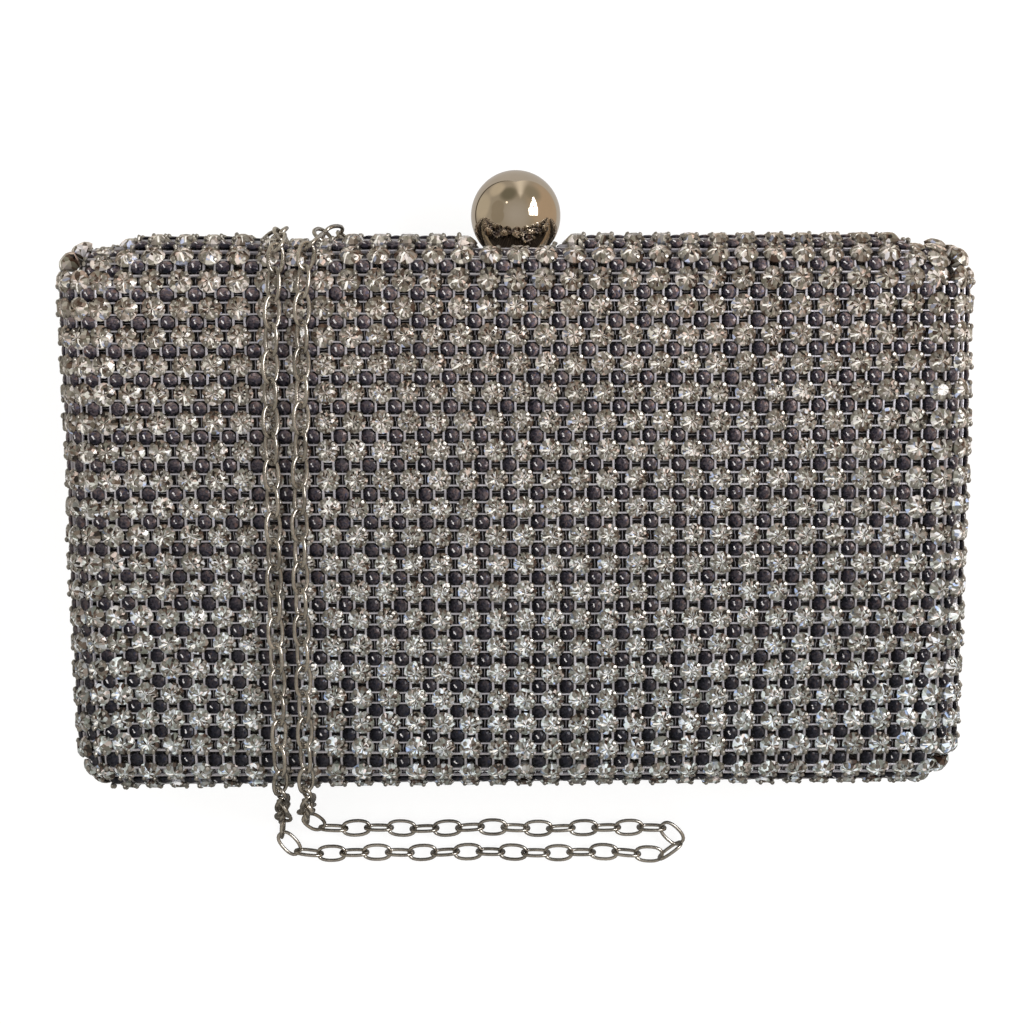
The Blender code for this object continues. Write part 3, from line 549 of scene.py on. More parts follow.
def new_object(name: str, mesh: bpy.types.Mesh, finish: Finish | None = None) -> bpy.types.Object:
    """Puts a mesh in the scene.

    Args:
        name: The piece's name.
        mesh: Its mesh, in place.
        finish: The finish of all its faces.

    Returns:
        The new object.
    """
    thing = bpy.data.objects.new(name, mesh)
    bpy.context.scene.collection.objects.link(thing)
    if finish:
        mesh.materials.clear()
        mesh.materials.append(finish.material())
    return thing


def plain_mesh(name: str, bm: bmesh.types.BMesh, smooth: float | None = None) -> bpy.types.Mesh:
    """Turns a bmesh into a mesh.

    Args:
        name: The mesh's name.
        bm: The bmesh, which is freed.
        smooth: Edges that bend less than this, in degrees, are smooth; none are if it isn't given.

    Returns:
        The mesh.
    """
    mesh = bpy.data.meshes.new(name)
    bm.to_mesh(mesh)
    bm.free()
    if smooth is not None:
        mesh.shade_smooth()
        mesh.set_sharp_from_angle(angle=math.radians(smooth))
    return mesh


def settled(thing: bpy.types.Object, *helpers: bpy.types.Object) -> bpy.types.Mesh:
    """Makes a plain mesh of an object with its modifiers.

    Args:
        thing: The object, which is removed.
        helpers: What its modifiers read, removed too.

    Returns:
        The mesh.
    """
    graph = bpy.context.evaluated_depsgraph_get()
    graph.update()
    mesh = bpy.data.meshes.new_from_object(thing.evaluated_get(graph), depsgraph=graph)
    for old in (thing, *helpers):
        bpy.data.objects.remove(old, do_unlink=True)
    return mesh


def absorb(bm: bmesh.types.BMesh, other: bmesh.types.BMesh) -> None:
    """Adds another bmesh's faces, and frees it.

    Args:
        bm: What takes the faces.
        other: What gives them.
    """
    mesh = plain_mesh("part", other)
    bm.from_mesh(mesh)
    bpy.data.meshes.remove(mesh)


def skin(bm: bmesh.types.BMesh, rows: Sequence[Sequence], capped: bool = False) -> None:
    """Joins rings of vertices with faces that point outwards.

    Args:
        bm: Where the faces go.
        rows: The rings, in order; a ring of one vertex is a pole.
        capped: Whether the first and the last ring are closed with a face each.
    """
    for low, high in zip(rows, rows[1:]):
        count = max(len(low), len(high))
        for k in range(count):
            after = (k + 1) % count
            quad = [low[k % len(low)], low[after % len(low)]]
            quad += [high[after % len(high)], high[k % len(high)]]
            bm.faces.new(list(dict.fromkeys(quad)))
    if capped:
        bm.faces.new(list(reversed(rows[0])))
        bm.faces.new(rows[-1])
    bmesh.ops.recalc_face_normals(bm, faces=bm.faces)


def circle(count: int, shift: float = 0.0) -> list[Vector]:
    """Evenly spaced points round a circle of radius one."""
    turns = [2 * math.pi * k / count + shift for k in range(count)]
    return [Vector((math.cos(turn), math.sin(turn), 0.0)) for turn in turns]


def lathe(profile: Sequence[Span], steps: int, place: Matrix) -> bmesh.types.BMesh:
    """Turns a profile about Z.

    Args:
        profile: Radius and height of each ring, the first and last on the axis.
        steps: Sides of each ring.
        place: Where the turned shape goes.

    Returns:
        The turned shape.
    """
    bm = bmesh.new()
    rows = []
    for radius, height in profile:
        lift = Vector((0, 0, height))
        spots = [lift] if radius < 1e-9 else [spot * radius + lift for spot in circle(steps)]
        rows.append([bm.verts.new(spot) for spot in spots])
    skin(bm, rows)
    bmesh.ops.transform(bm, matrix=place, verts=bm.verts)
    return bm


@dataclass(frozen=True)
class Seat:
    """A place on the box: where it is, which way is out, which way is along, and its size there."""

    point: Vector
    facing: Vector
    along: Vector
    stretch: Point = (1.0, 1.0, 1.0)


class Grower:
    """Grows copies of a shape at seats with one Geometry Nodes tree."""

    tree: bpy.types.NodeTree | None = None
    inputs = {
        "Geometry": "Geometry",
        "Shape": "Object",
        "Size": "Float",
        "Tilt": "Float",
        "Spin": "Float",
        "Seed": "Int",
        "Finish": "Material",
    }

    @classmethod
    def laid(cls) -> bpy.types.NodeTree:
        """The tree, made at its first use."""
        if cls.tree:
            return cls.tree
        tree = bpy.data.node_groups.new("copies_at_seats", "GeometryNodeTree")
        for name, kind in cls.inputs.items():
            tree.interface.new_socket(name, in_out="INPUT", socket_type=f"NodeSocket{kind}")
        tree.interface.new_socket("Geometry", in_out="OUTPUT", socket_type="NodeSocketGeometry")
        desk = NodeDesk(tree)
        given = {socket.name: Value(desk, socket) for socket in desk.add("NodeGroupInput").outputs}
        read = "GeometryNodeInputNamedAttribute"
        facing, along, stretch = (
            desk.value(read, {"Name": name}, "Attribute", data_type="FLOAT_VECTOR")
            for name in ("facing", "along", "stretch")
        )
        align = "FunctionNodeAlignRotationToVector"
        up = desk.value(align, {"Vector": facing}, axis="Z")
        turned = desk.value(align, {"Rotation": up, "Vector": along}, axis="X", pivot_axis="Z")
        most = desk.vector(given["Tilt"], given["Tilt"], given["Spin"])
        bounds = {0: desk.scaled(most, -1.0), 1: most, "Seed": given["Seed"]}
        wobble = desk.value("FunctionNodeRandomValue", bounds, data_type="FLOAT_VECTOR")
        turns = {0: turned, 1: desk.value("FunctionNodeEulerToRotation", {0: wobble})}
        placed = {
            "Points": given["Geometry"],
            "Instance": desk.value("GeometryNodeObjectInfo", {"Object": given["Shape"]}, "Geometry"),
            "Rotation": desk.value("FunctionNodeRotateRotation", turns, rotation_space="LOCAL"),
            "Scale": desk.scaled(stretch, given["Size"]),
        }
        marks = {
            "Geometry": desk.value("GeometryNodeInstanceOnPoints", placed),
            "Name": "gem",
            "Value": desk.value("FunctionNodeRandomValue", {"Seed": given["Seed"]}, 1, data_type="FLOAT"),
        }
        marked = desk.value("GeometryNodeStoreNamedAttribute", marks, data_type="FLOAT", domain="INSTANCE")
        real = desk.value("GeometryNodeRealizeInstances", {0: marked})
        dressed = desk.value("GeometryNodeSetMaterial", {0: real, "Material": given["Finish"]})
        desk.add("NodeGroupOutput", {0: dressed})
        cls.tree = tree
        return tree

    @classmethod
    def grow(
        cls,
        name: str,
        shape: bpy.types.Mesh,
        seats: Sequence[Seat],
        finish: Finish,
        wobble: Span,
        seed: int,
    ) -> bpy.types.Object:
        """Makes one piece of many copies.

        Args:
            name: The piece's name.
            shape: The shape of one copy, about the origin.
            seats: Where the copies go.
            finish: Their finish.
            wobble: The most that a copy leans and the most that it turns, in radians.
            seed: The seed of the lean, the turn and each copy's own number.

        Returns:
            The piece, as a plain mesh.
        """
        points = bpy.data.meshes.new(name + "_seats")
        points.from_pydata([seat.point for seat in seats], [], [])
        for key in ("facing", "along", "stretch"):
            values = np.array([getattr(seat, key) for seat in seats], dtype=np.float32)
            points.attributes.new(key, "FLOAT_VECTOR", "POINT").data.foreach_set("vector", values.ravel())
        holder = new_object(name + "_seats", points)
        model = new_object(name + "_one", shape)
        modifier = holder.modifiers.new("copies", "NODES")
        modifier.node_group = cls.laid()
        values = {"Shape": model, "Size": 1.0, "Tilt": wobble[0], "Spin": wobble[1], "Seed": seed}
        values["Finish"] = finish.material()
        for item in modifier.node_group.interface.items_tree:
            if item.in_out == "INPUT" and item.name in values:
                modifier[item.identifier] = values[item.name]
        mesh = settled(holder, model)
        mesh.name = name
        return new_object(name, mesh, finish)


@dataclass(frozen=True)
class Bend:
    """How a springy piece bends across a joint."""

    body: Body
    start: Point
    end: Point


def finished(
    piece: bpy.types.Object,
    body: Body,
    stands_for: Iterable[str] = (),
    bend: Bend | None = None,
) -> bpy.types.Object:
    """Lets a piece ride on its body, or bakes its place into its mesh if it is given a bend.

    Args:
        piece: The piece, in place.
        body: The body that carries it.
        stands_for: The nodes that it replaces.
        bend: Where its free end goes over to another body, if it bends; a piece given one is baked in place
            and left off its body, and where it bends is not read.

    Returns:
        The piece.
    """
    if bend:
        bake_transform(piece)
    else:
        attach(piece, body.value)
    if stands_for:
        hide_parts(*stands_for)
    LOG.info("%s: %d faces on %s", piece.name, len(piece.data.polygons), body.value)
    return piece


def ease(value: float, start: float, end: float) -> float:
    """How far a value has gone from a start to an end, eased at both."""
    share = max(0.0, min((value - start) / (end - start), 1.0))
    return share * share * (3 - 2 * share)


@dataclass(frozen=True)
class BoxForm:
    """The rounded box that both halves make up, in metres, and where its net stands proud of it.

    The spans say from where to where a rise or dip grows, over the surface from the middle.
    """

    half_x: float = 100.0 * MM
    half_y: float = 61.5 * MM
    half_z: float = 20.0 * MM
    edge: float = 10.0 * MM
    seam: float = 4.3 * MM
    middle: float = 20.0 * MM
    rise: float = 1.1 * MM
    rise_up: Span = (49.0 * MM, 60.0 * MM)
    strands: float = -47.0 * MM
    strands_out: Span = (-12.0 * MM, -6.0 * MM)
    strands_share: float = 0.85
    swell_right: float = 0.8 * MM
    swell_left: float = 0.45 * MM
    swell_out: Span = (90.0 * MM, 97.0 * MM)
    right_down: Span = (-42.0 * MM, -15.0 * MM)
    left_down: Span = (-10.0 * MM, 5.0 * MM)
    foot_up: Span = (-58.0 * MM, -48.0 * MM)
    corner_dip: float = 2.77 * MM
    corner_out: Span = (80.0 * MM, 88.0 * MM)
    corner_end: Span = (90.0 * MM, 98.0 * MM)
    corner_end_share: float = 0.8
    corner_up: Span = (47.0 * MM, 56.0 * MM)
    ball_dip: float = 2.75 * MM
    ball_out: Span = (-12.0 * MM, -9.0 * MM)
    ball_up: Span = (59.5 * MM, 62.0 * MM)

    def proud(self, u: float, v: float) -> float:
        """How far the net stands out of the box, or less than nothing at the corners and the ball.

        Args:
            u: The place across the net, from the middle.
            v: The place up the net, from the middle.

        Returns:
            The length in metres.
        """
        out = abs(u)
        rise = self.rise * ease(v, *self.rise_up)
        rise *= 1.0 - self.strands_share * ease(-abs(u - self.strands), *self.strands_out)
        swell = self.swell_right * ease(u, *self.swell_out) * ease(-v, *self.right_down)
        swell += self.swell_left * ease(-u, *self.swell_out) * ease(-v, *self.left_down)
        swell *= ease(v, *self.foot_up)
        dip = self.corner_dip * ease(out, *self.corner_out) * ease(v, *self.corner_up)
        dip *= 1.0 - self.corner_end_share * ease(out, *self.corner_end)
        dip += self.ball_dip * ease(-out, *self.ball_out) * ease(v, *self.ball_up)
        return rise + swell - dip

    def spot(self, u: float, v: float, depth: float) -> tuple[Vector, Vector]:
        """A place on the front for lengths measured over its surface from the middle.

        Args:
            u: Length to the right.
            v: Length up.
            depth: How far under the surface.

        Returns:
            The point, with Z from the seam, and the way out.
        """
        flat_x, flat_y = self.half_x - self.edge, self.half_y - self.edge
        x, y = max(-flat_x, min(u, flat_x)), max(-flat_y, min(v, flat_y))
        over = Vector((u - x, v - y, 0))
        run = over.length
        centre = Vector((x, y, self.half_z - self.edge))
        if run < 1e-9:
            return centre + Vector((0, 0, self.edge - depth)), Vector((0, 0, 1))
        bend = min(run / self.edge, QUARTER)
        facing = over / run * math.sin(bend) + Vector((0, 0, math.cos(bend)))
        drop = max(run - self.edge * QUARTER, 0)
        return centre + facing * (self.edge - depth) - Vector((0, 0, drop)), facing

    def over_edge(self) -> float:
        """The length over the surface from where it starts to bend to the seam."""
        return self.edge * QUARTER + self.half_z - self.edge - self.seam

    def placed(self, point: Vector, side: Side) -> Vector:
        """Where a point with Z from the seam lies on a half."""
        return point * side.flip + Vector((0, 0, self.middle))

    def seat(self, u: float, v: float, depth: float, side: Side, stretch: Point = (1, 1, 1)) -> Seat:
        """A seat on a half.

        Args:
            u: Length to the right over the surface.
            v: Length up over the surface.
            depth: How far under the net's surface.
            side: The half.
            stretch: The copy's size there.

        Returns:
            The seat.
        """
        step = 0.05 * MM
        depth -= self.proud(u, v)
        point, facing = self.spot(u, v, depth)
        along = (self.spot(u + step, v, depth)[0] - self.spot(u - step, v, depth)[0]).normalized()
        return Seat(self.placed(point, side), facing * side.flip, along * side.flip, stretch)


BALL_PLACES: tuple[Point, ...] = ((0.0, 67.2, 20.0), (0.0, 67.14, 18.5), (0.0, 66.99, 16.98))
COLUMNS = (
    (-108.7, -103.6, -98.5, -93.4, -88.3, -82.8, -77.1, -71.1, -65.1, -59.2, -53.2, -47.1, -41.1, -35.1)
    + (-29.1, -23.1, -17.1, -11.0, -4.8, 1.1, 7.2, 13.3, 19.4, 25.6, 31.7, 37.9, 43.9, 50.1, 56.3, 62.4)
    + (68.6, 74.8, 80.7, 86.6, 92.2, 97.7, 103.2, 108.7)
)
ROWS = (
    (-70.3, -64.2, -58.0, -51.8, -45.7, -39.7, -33.6, -27.4, -21.2, -15.0, -8.8, -2.6)
    + (3.6, 9.8, 16.0, 22.2, 28.4, 34.6, 40.8, 46.9, 52.9, 58.7, 64.5, 70.3)
)
SWAY_X = (
    (-40.0, (-88, 0.7), (-53, 0.5), (-17, 0.4), (20, 0.3), (50, 0.1), (80, 0.0)),
    (-15.0, (-88, 0.3), (-53, 0.3), (-17, 0.3), (20, 0.5), (50, 0.8), (80, 0.8)),
    (16.0, (-88, 0.0), (80, 0.0)),
    (47.0, (-88, -0.4), (-53, 0.0), (-17, -1.2), (20, -1.7), (50, -2.0), (80, -2.0)),
)
SWAY_Y = (
    (-52.2, (-82, 3.0), (-19, 1.4), (16, 0.9), (46, 1.6), (81, 1.8)),
    (-39.8, (-82, 2.3), (-19, 0.6), (16, 0.1), (46, 0.8), (81, 0.9)),
    (-21.2, (-82, 1.1), (-19, 0.0), (16, -0.2), (46, 0.0), (81, 0.0)),
    (3.6, (-82, 0.2), (-19, -0.2), (16, 0.0), (46, -0.1), (81, -0.3)),
    (28.4, (-82, 0.0), (-19, 0.3), (16, 0.1), (46, 0.0), (81, 0.3)),
    (53.0, (-82, -0.5), (-19, -0.4), (16, -0.3), (46, -0.2), (81, -0.1)),
)


@dataclass
class NetLayout:
    """Where the crystals and the studs of one half sit."""

    form: BoxForm
    side: Side
    clear: float = 4.85 * MM
    ball_room: float = 12.6 * MM
    crystal_margin: float = 2.3 * MM
    stud_margin: float = 1.2 * MM
    corner_margin: float = 2.5 * MM
    corner_pitch: float = 5.2 * MM
    corner_rings: int = 3
    corner_turns: range = range(4, 88, 3)
    corner_x: float = 1.5 * MM
    corner_y: float = 2.0 * MM
    rear_sway: float = -0.5
    fade_x: Span = (92.0 * MM, 12.0 * MM)
    fade_y: Span = (53.0 * MM, 14.0 * MM)

    @staticmethod
    def swayed(table: Sequence, x: float, y: float) -> float:
        """Reads a table of shifts, in millimetres, at a place."""
        lines = [np.interp(x, [a for a, _ in row[1:]], [b for _, b in row[1:]]) for row in table]
        return float(np.interp(y, [row[0] for row in table], lines)) * MM

    def shifted(self, u: float, v: float) -> Span:
        """A grid place after the net's sway, which fades out over the edges.

        Args:
            u: The place across the net, from the middle.
            v: The place up the net, from the middle.

        Returns:
            The place after it.
        """
        fade = 1.0 if self.side is Side.FRONT else self.rear_sway
        for length, (start, reach) in ((u, self.fade_x), (v, self.fade_y)):
            fade *= max(0.0, 1.0 - max(0.0, abs(length) - start) / reach)
        x, y = u / MM, v / MM
        return u + self.swayed(SWAY_X, x, y) * fade, v + self.swayed(SWAY_Y, x, y) * fade

    def past_bend(self, u: float, v: float) -> Span:
        """How far a place lies past where the edges start to bend."""
        return abs(u) - (self.form.half_x - self.form.edge), abs(v) - (self.form.half_y - self.form.edge)

    def corner(self, u: float, v: float) -> bool:
        """Whether a place lies on one of the round corners."""
        over_x, over_y = self.past_bend(u, v)
        return over_x > self.corner_x and over_y > self.corner_y

    def allowed(self, u: float, v: float, margin: float) -> bool:
        """Whether a shape this wide sits clear of the seam and of the ball.

        Args:
            u: The place across the net, from the middle.
            v: The place up the net, from the middle.
            margin: How far the shape reaches from its place.

        Returns:
            True if it does.
        """
        over = math.hypot(*(max(length, 0) for length in self.past_bend(u, v)))
        point = self.form.seat(u, v, 0, self.side).point
        clear = all((point - Vector(place) * MM).length > self.ball_room for place in BALL_PLACES)
        return clear and over <= self.form.over_edge() - margin

    def crystals(self) -> list[Span]:
        """The crystals' places over the surface, with the corners filled where there is room."""
        kept, edge = [], []
        for y in ROWS:
            for x in COLUMNS:
                place = self.shifted(x * MM, y * MM)
                if self.allowed(*place, self.crystal_margin):
                    (edge if self.corner(*place) else kept).append(place)
        form = self.form
        for ring in range(self.corner_rings):
            run = form.over_edge() - self.corner_margin - ring * self.corner_pitch
            for sx, sy in ((-1, -1), (-1, 1), (1, -1), (1, 1)):
                for turn in self.corner_turns:
                    a = math.radians(turn)
                    u = sx * (form.half_x - form.edge + run * math.cos(a))
                    edge.append((u, sy * (form.half_y - form.edge + run * math.sin(a))))
        points = [form.seat(*place, 0, self.side).point for place in kept]
        for place in edge:
            point = form.seat(*place, 0, self.side).point
            if all((point - other).length > self.clear for other in points):
                points.append(point)
                kept.append(place)
        return kept

    def cells(self) -> list[tuple[float, float, float, float]]:
        """The places between four crystals, with the width and height of each cell."""
        found = []
        for low, high in zip(ROWS, ROWS[1:]):
            for before, after in zip(COLUMNS, COLUMNS[1:]):
                corners = [self.shifted(x * MM, y * MM) for x in (before, after) for y in (low, high)]
                u = sum(c[0] for c in corners) / 4
                v = sum(c[1] for c in corners) / 4
                if self.corner(u, v) or not self.allowed(u, v, self.stud_margin):
                    continue
                wide = (corners[2][0] + corners[3][0] - corners[0][0] - corners[1][0]) / 2
                tall = (corners[1][1] + corners[3][1] - corners[0][1] - corners[2][1]) / 2
                found.append((u, v, wide, tall))
        return found


@dataclass(frozen=True)
class StoneCut:
    """A round cut stone: its radius, crown and whole height, and where its rings lie as shares."""

    name: str
    radius: float
    crown: float
    base: float
    table: float = 0.50
    star: float = 0.78
    star_drop: float = 0.42
    foot: float = 0.45

    def mesh(self) -> bpy.types.Mesh:
        """The stone with its table up, and a map of the cut seen from above."""
        bm = bmesh.new()

        def ring(share: float, height: float, count: int = 8, shift: float = 0.0) -> list:
            """One ring of corners of the cut."""
            lift = Vector((0, 0, height))
            return [bm.verts.new(spot * (self.radius * share) + lift) for spot in circle(count, shift)]

        table = ring(self.table, 0.0)
        middle = ring(self.star, -self.crown * self.star_drop, shift=math.pi / 8)
        girdle = ring(1.0, -self.crown, 16)
        foot = ring(self.foot, -self.base)
        bm.faces.new(table)
        bm.faces.new(list(reversed(foot)))
        for k in range(8):
            after, before = (k + 1) % 8, (k - 1) % 8
            tip, half_tip, next_tip = girdle[2 * k], girdle[2 * k + 1], girdle[(2 * k + 2) % 16]
            bm.faces.new((table[k], middle[k], table[after]))
            bm.faces.new((table[k], middle[before], tip, middle[k]))
            bm.faces.new((middle[k], tip, half_tip))
            bm.faces.new((middle[k], half_tip, next_tip))
            bm.faces.new((tip, foot[k], half_tip))
            bm.faces.new((half_tip, foot[k], foot[after], next_tip))
        bmesh.ops.recalc_face_normals(bm, faces=bm.faces)
        cut = bm.loops.layers.uv.new("cut")
        for face in bm.faces:
            for loop in face.loops:
                place = loop.vert.co / (2 * self.radius)
                loop[cut].uv = (0.5 + place.x, 0.5 + place.y)
        return plain_mesh(self.name, bm)


@dataclass
class CrystalNet:
    """The net of one half: cut crystals in claws, with bars and dark studs between them.

    A wobble is the most that a copy leans and the most that it turns, in radians.
    """

    layout: NetLayout
    gem: StoneCut = StoneCut("crystal", 2.58 * MM, 1.0 * MM, 3.2 * MM)
    gem_wobble: Span = (math.radians(3.0), math.radians(22.0))
    stud: StoneCut = StoneCut("stud", 1.40 * MM, 0.34 * MM, 1.92 * MM)
    stud_depth: float = 0.45 * MM
    stud_wobble: Span = (math.radians(6.0), math.radians(13.2))
    claw: float = 0.50 * MM
    claw_depth: float = 0.08 * MM
    claw_reach: float = 1.60 * MM
    claw_tall: float = 1.25
    claw_lean: float = math.radians(24.0)
    claw_wobble: Span = (0.09, 0.02)
    claw_turned: tuple[Span, ...] = (
        (0.0, 0.0),
        (0.76, 0.015),
        (0.98, 0.17),
        (1.0, 0.50),
        (0.8, 0.95),
        (0.0, 2.3),
    )
    bar_depth: float = 0.92 * MM
    bar_half: float = 1.08 * MM
    bar_end: float = 1.45 * MM
    wide_bar: float = 0.28 * MM
    thin_bar: float = 0.22 * MM
    eased: float = 0.35
    rail: float = 0.075 * MM
    rail_depth: float = 2.7 * MM
    rail_foot: float = 3.15 * MM
    post: float = 0.07 * MM
    post_depth: float = 1.9 * MM
    reach: float = 1.84 * MM
    reach_up: float = 1.78 * MM
    pitch: float = 6.15 * MM
    bar_wobble: Span = (0.0, 0.02)
    seeds: tuple[int, int] = (11, 29)

    def claws(self) -> bpy.types.Mesh:
        """Four claws round a stud, each bent over its crystal and sloping to the stud."""
        bm = bmesh.new()
        profile = [(self.claw * share, -depth * MM) for share, depth in self.claw_turned]
        lean = Matrix.Rotation(self.claw_lean, 4, Vector((1, -1, 0)))
        for k in range(4):
            turn = Matrix.Rotation(QUARTER * k, 4, "Z")
            spot = turn @ Vector((self.claw_reach, self.claw_reach, -self.claw_depth))
            place = Matrix.Translation(spot) @ Matrix.Diagonal((1.0, self.claw_tall, 1.0, 1.0))
            absorb(bm, lathe(profile, 8, place @ turn @ lean))
        return plain_mesh("claws", bm, 47)

    def strip(self, bm: bmesh.types.BMesh, length: float, half: float, depths: Span, place: Matrix) -> None:
        """Adds a bar that runs along Y, with its top edges eased.

        Args:
            bm: Where the bar goes.
            length: Half its length.
            half: Half its width.
            depths: The depths of its top and of its foot.
            place: Where it goes.
        """
        top, foot = depths
        soft = half * self.eased
        right = ((half, -foot), (half, -top - soft), (half - soft, -top))
        outline = [(-half, -foot), *right, *((-x, z) for x, z in reversed(right[1:]))]
        made = bmesh.new()
        rows = [[made.verts.new((x, y, z)) for x, z in outline] for y in (-length, length)]
        skin(made, rows, capped=True)
        bmesh.ops.transform(made, matrix=place, verts=made.verts)
        absorb(bm, made)

    def bars(self) -> bpy.types.Mesh:
        """The four bars that join the claws round a stud, and the wires that cross under it."""
        bm = bmesh.new()
        for k in range(4):
            turn = Matrix.Rotation(QUARTER * k, 4, "Z")
            half, out = (self.thin_bar, self.reach_up) if k % 2 else (self.wide_bar, self.reach)
            place = turn @ Matrix.Translation((out, 0, 0))
            self.strip(bm, self.bar_half, half, (self.bar_depth, self.bar_end), place)
        across = Matrix.Rotation(QUARTER, 4, "Z")
        self.strip(bm, self.pitch / 2, self.rail, (self.rail_depth, self.rail_foot), across)
        self.strip(bm, self.pitch / 2, self.post, (self.post_depth, self.rail_depth), Matrix())
        return plain_mesh("bars", bm, 30)

    def tall(self, u: float, v: float) -> Point:
        """The stretch that keeps a piece's foot down where the net stands proud."""
        return (1.0, 1.0, 1.0 + self.layout.form.proud(u, v) / self.gem.base)

    def build(self) -> None:
        """Builds the half's crystals, claws, bars and studs."""
        side, form = self.layout.side, self.layout.form
        seed = self.seeds[0 if side is Side.FRONT else 1]
        crystals = [form.seat(u, v, 0.0, side, self.tall(u, v)) for u, v in self.layout.crystals()]
        studs, frames = [], []
        for u, v, wide, tall in self.layout.cells():
            stretch = (wide / self.pitch, tall / self.pitch, self.tall(u, v)[2])
            studs.append(form.seat(u, v, self.stud_depth, side))
            frames.append(form.seat(u, v, 0.0, side, stretch))
        LOG.info("%s net: %d crystals, %d studs", side.word, len(crystals), len(studs))
        parts = (
            ("crystals", self.gem.mesh(), crystals, CRYSTAL, self.gem_wobble),
            ("claws", self.claws(), frames, CLAW_METAL, self.claw_wobble),
            ("bars", self.bars(), frames, BAR_METAL, self.bar_wobble),
            ("studs", self.stud.mesh(), studs, DARK_STONE, self.stud_wobble),
        )
        for k, (word, *rest) in enumerate(parts):
            piece = Grower.grow(f"{side.word}_{word}", *rest, seed + k)
            finished(piece, side.body, [] if k else [f"{side.word}_crystal_net"])


CHAIN_ROUTE: tuple[Point, ...] = (
    (-63.0, 59.3, 21.4), (-60.5, 59.3, 21.4), (-57.5, 60.1, 21.4), (-54.9, 62.3, 21.4),
    (-53.0, 64.8, 23.4), (-51.8, 64.9, 26.9), (-51.0, 63.98, 31.75), (-50.6, 62.07, 36.86),
    (-50.7, 57.8, 40.91), (-51.1, 51.5, 42.6), (-52.2, 36.0, 42.6), (-52.6, 18.0, 42.6),
    (-52.6, 0.0, 42.6), (-52.8, -20.0, 42.6), (-52.6, -40.0, 42.6), (-52.7, -51.5, 42.6),
    (-52.8, -55.81, 41.84), (-53.0, -59.6, 39.65), (-53.5, -62.41, 36.3), (-54.1, -66.4, 31.0),
    (-55.2, -69.8, 24.0), (-56.3, -73.2, 17.0), (-57.3, -76.2, 11.0), (-58.2, -79.0, 5.9),
    (-58.8, -82.0, 3.2), (-58.5, -85.0, 2.4), (-56.9, -87.5, 2.4), (-54.2, -88.9, 2.4),
    (-49.0, -89.4, 2.4), (-38.0, -89.2, 2.4), (-24.0, -89.4, 2.4), (-8.0, -89.3, 2.4),
    (8.0, -89.8, 2.4), (22.0, -89.6, 2.4), (32.0, -90.2, 2.4), (36.8, -90.4, 2.4), (39.4, -89.4, 2.4),
    (40.5, -87.0, 2.4), (39.4, -84.6, 2.4), (36.8, -83.5, 2.4), (32.0, -83.3, 2.4), (20.0, -83.2, 2.4),
    (6.0, -83.3, 2.4), (-8.0, -82.8, 2.4), (-22.0, -83.1, 2.4), (-36.0, -82.7, 2.4),
    (-44.0, -82.8, 2.4), (-48.4, -82.4, 2.6), (-50.9, -80.7, 3.6), (-52.0, -78.2, 6.2),
    (-51.8, -75.6, 10.6), (-51.1, -73.3, 15.3), (-50.2, -71.0, 20.4), (-49.2, -68.7, 25.8),
    (-48.3, -66.4, 31.2), (-47.6, -62.41, 36.3), (-47.3, -59.6, 39.65), (-47.1, -55.81, 41.84),
    (-47.0, -51.5, 42.6), (-47.0, -38.0, 42.6), (-47.1, -20.0, 42.6), (-47.0, -2.0, 42.6),
    (-46.7, 10.0, 42.6), (-46.0, 24.0, 42.6), (-45.5, 40.0, 42.6), (-45.0, 51.5, 42.6),
    (-44.4, 57.8, 40.91), (-43.4, 62.07, 36.86), (-42.2, 63.98, 31.75), (-40.9, 64.9, 26.4),
    (-39.0, 64.8, 23.4), (-37.0, 62.3, 21.4), (-34.4, 60.1, 21.4), (-31.5, 59.3, 21.4),
    (-29.0, 59.3, 21.4),
)


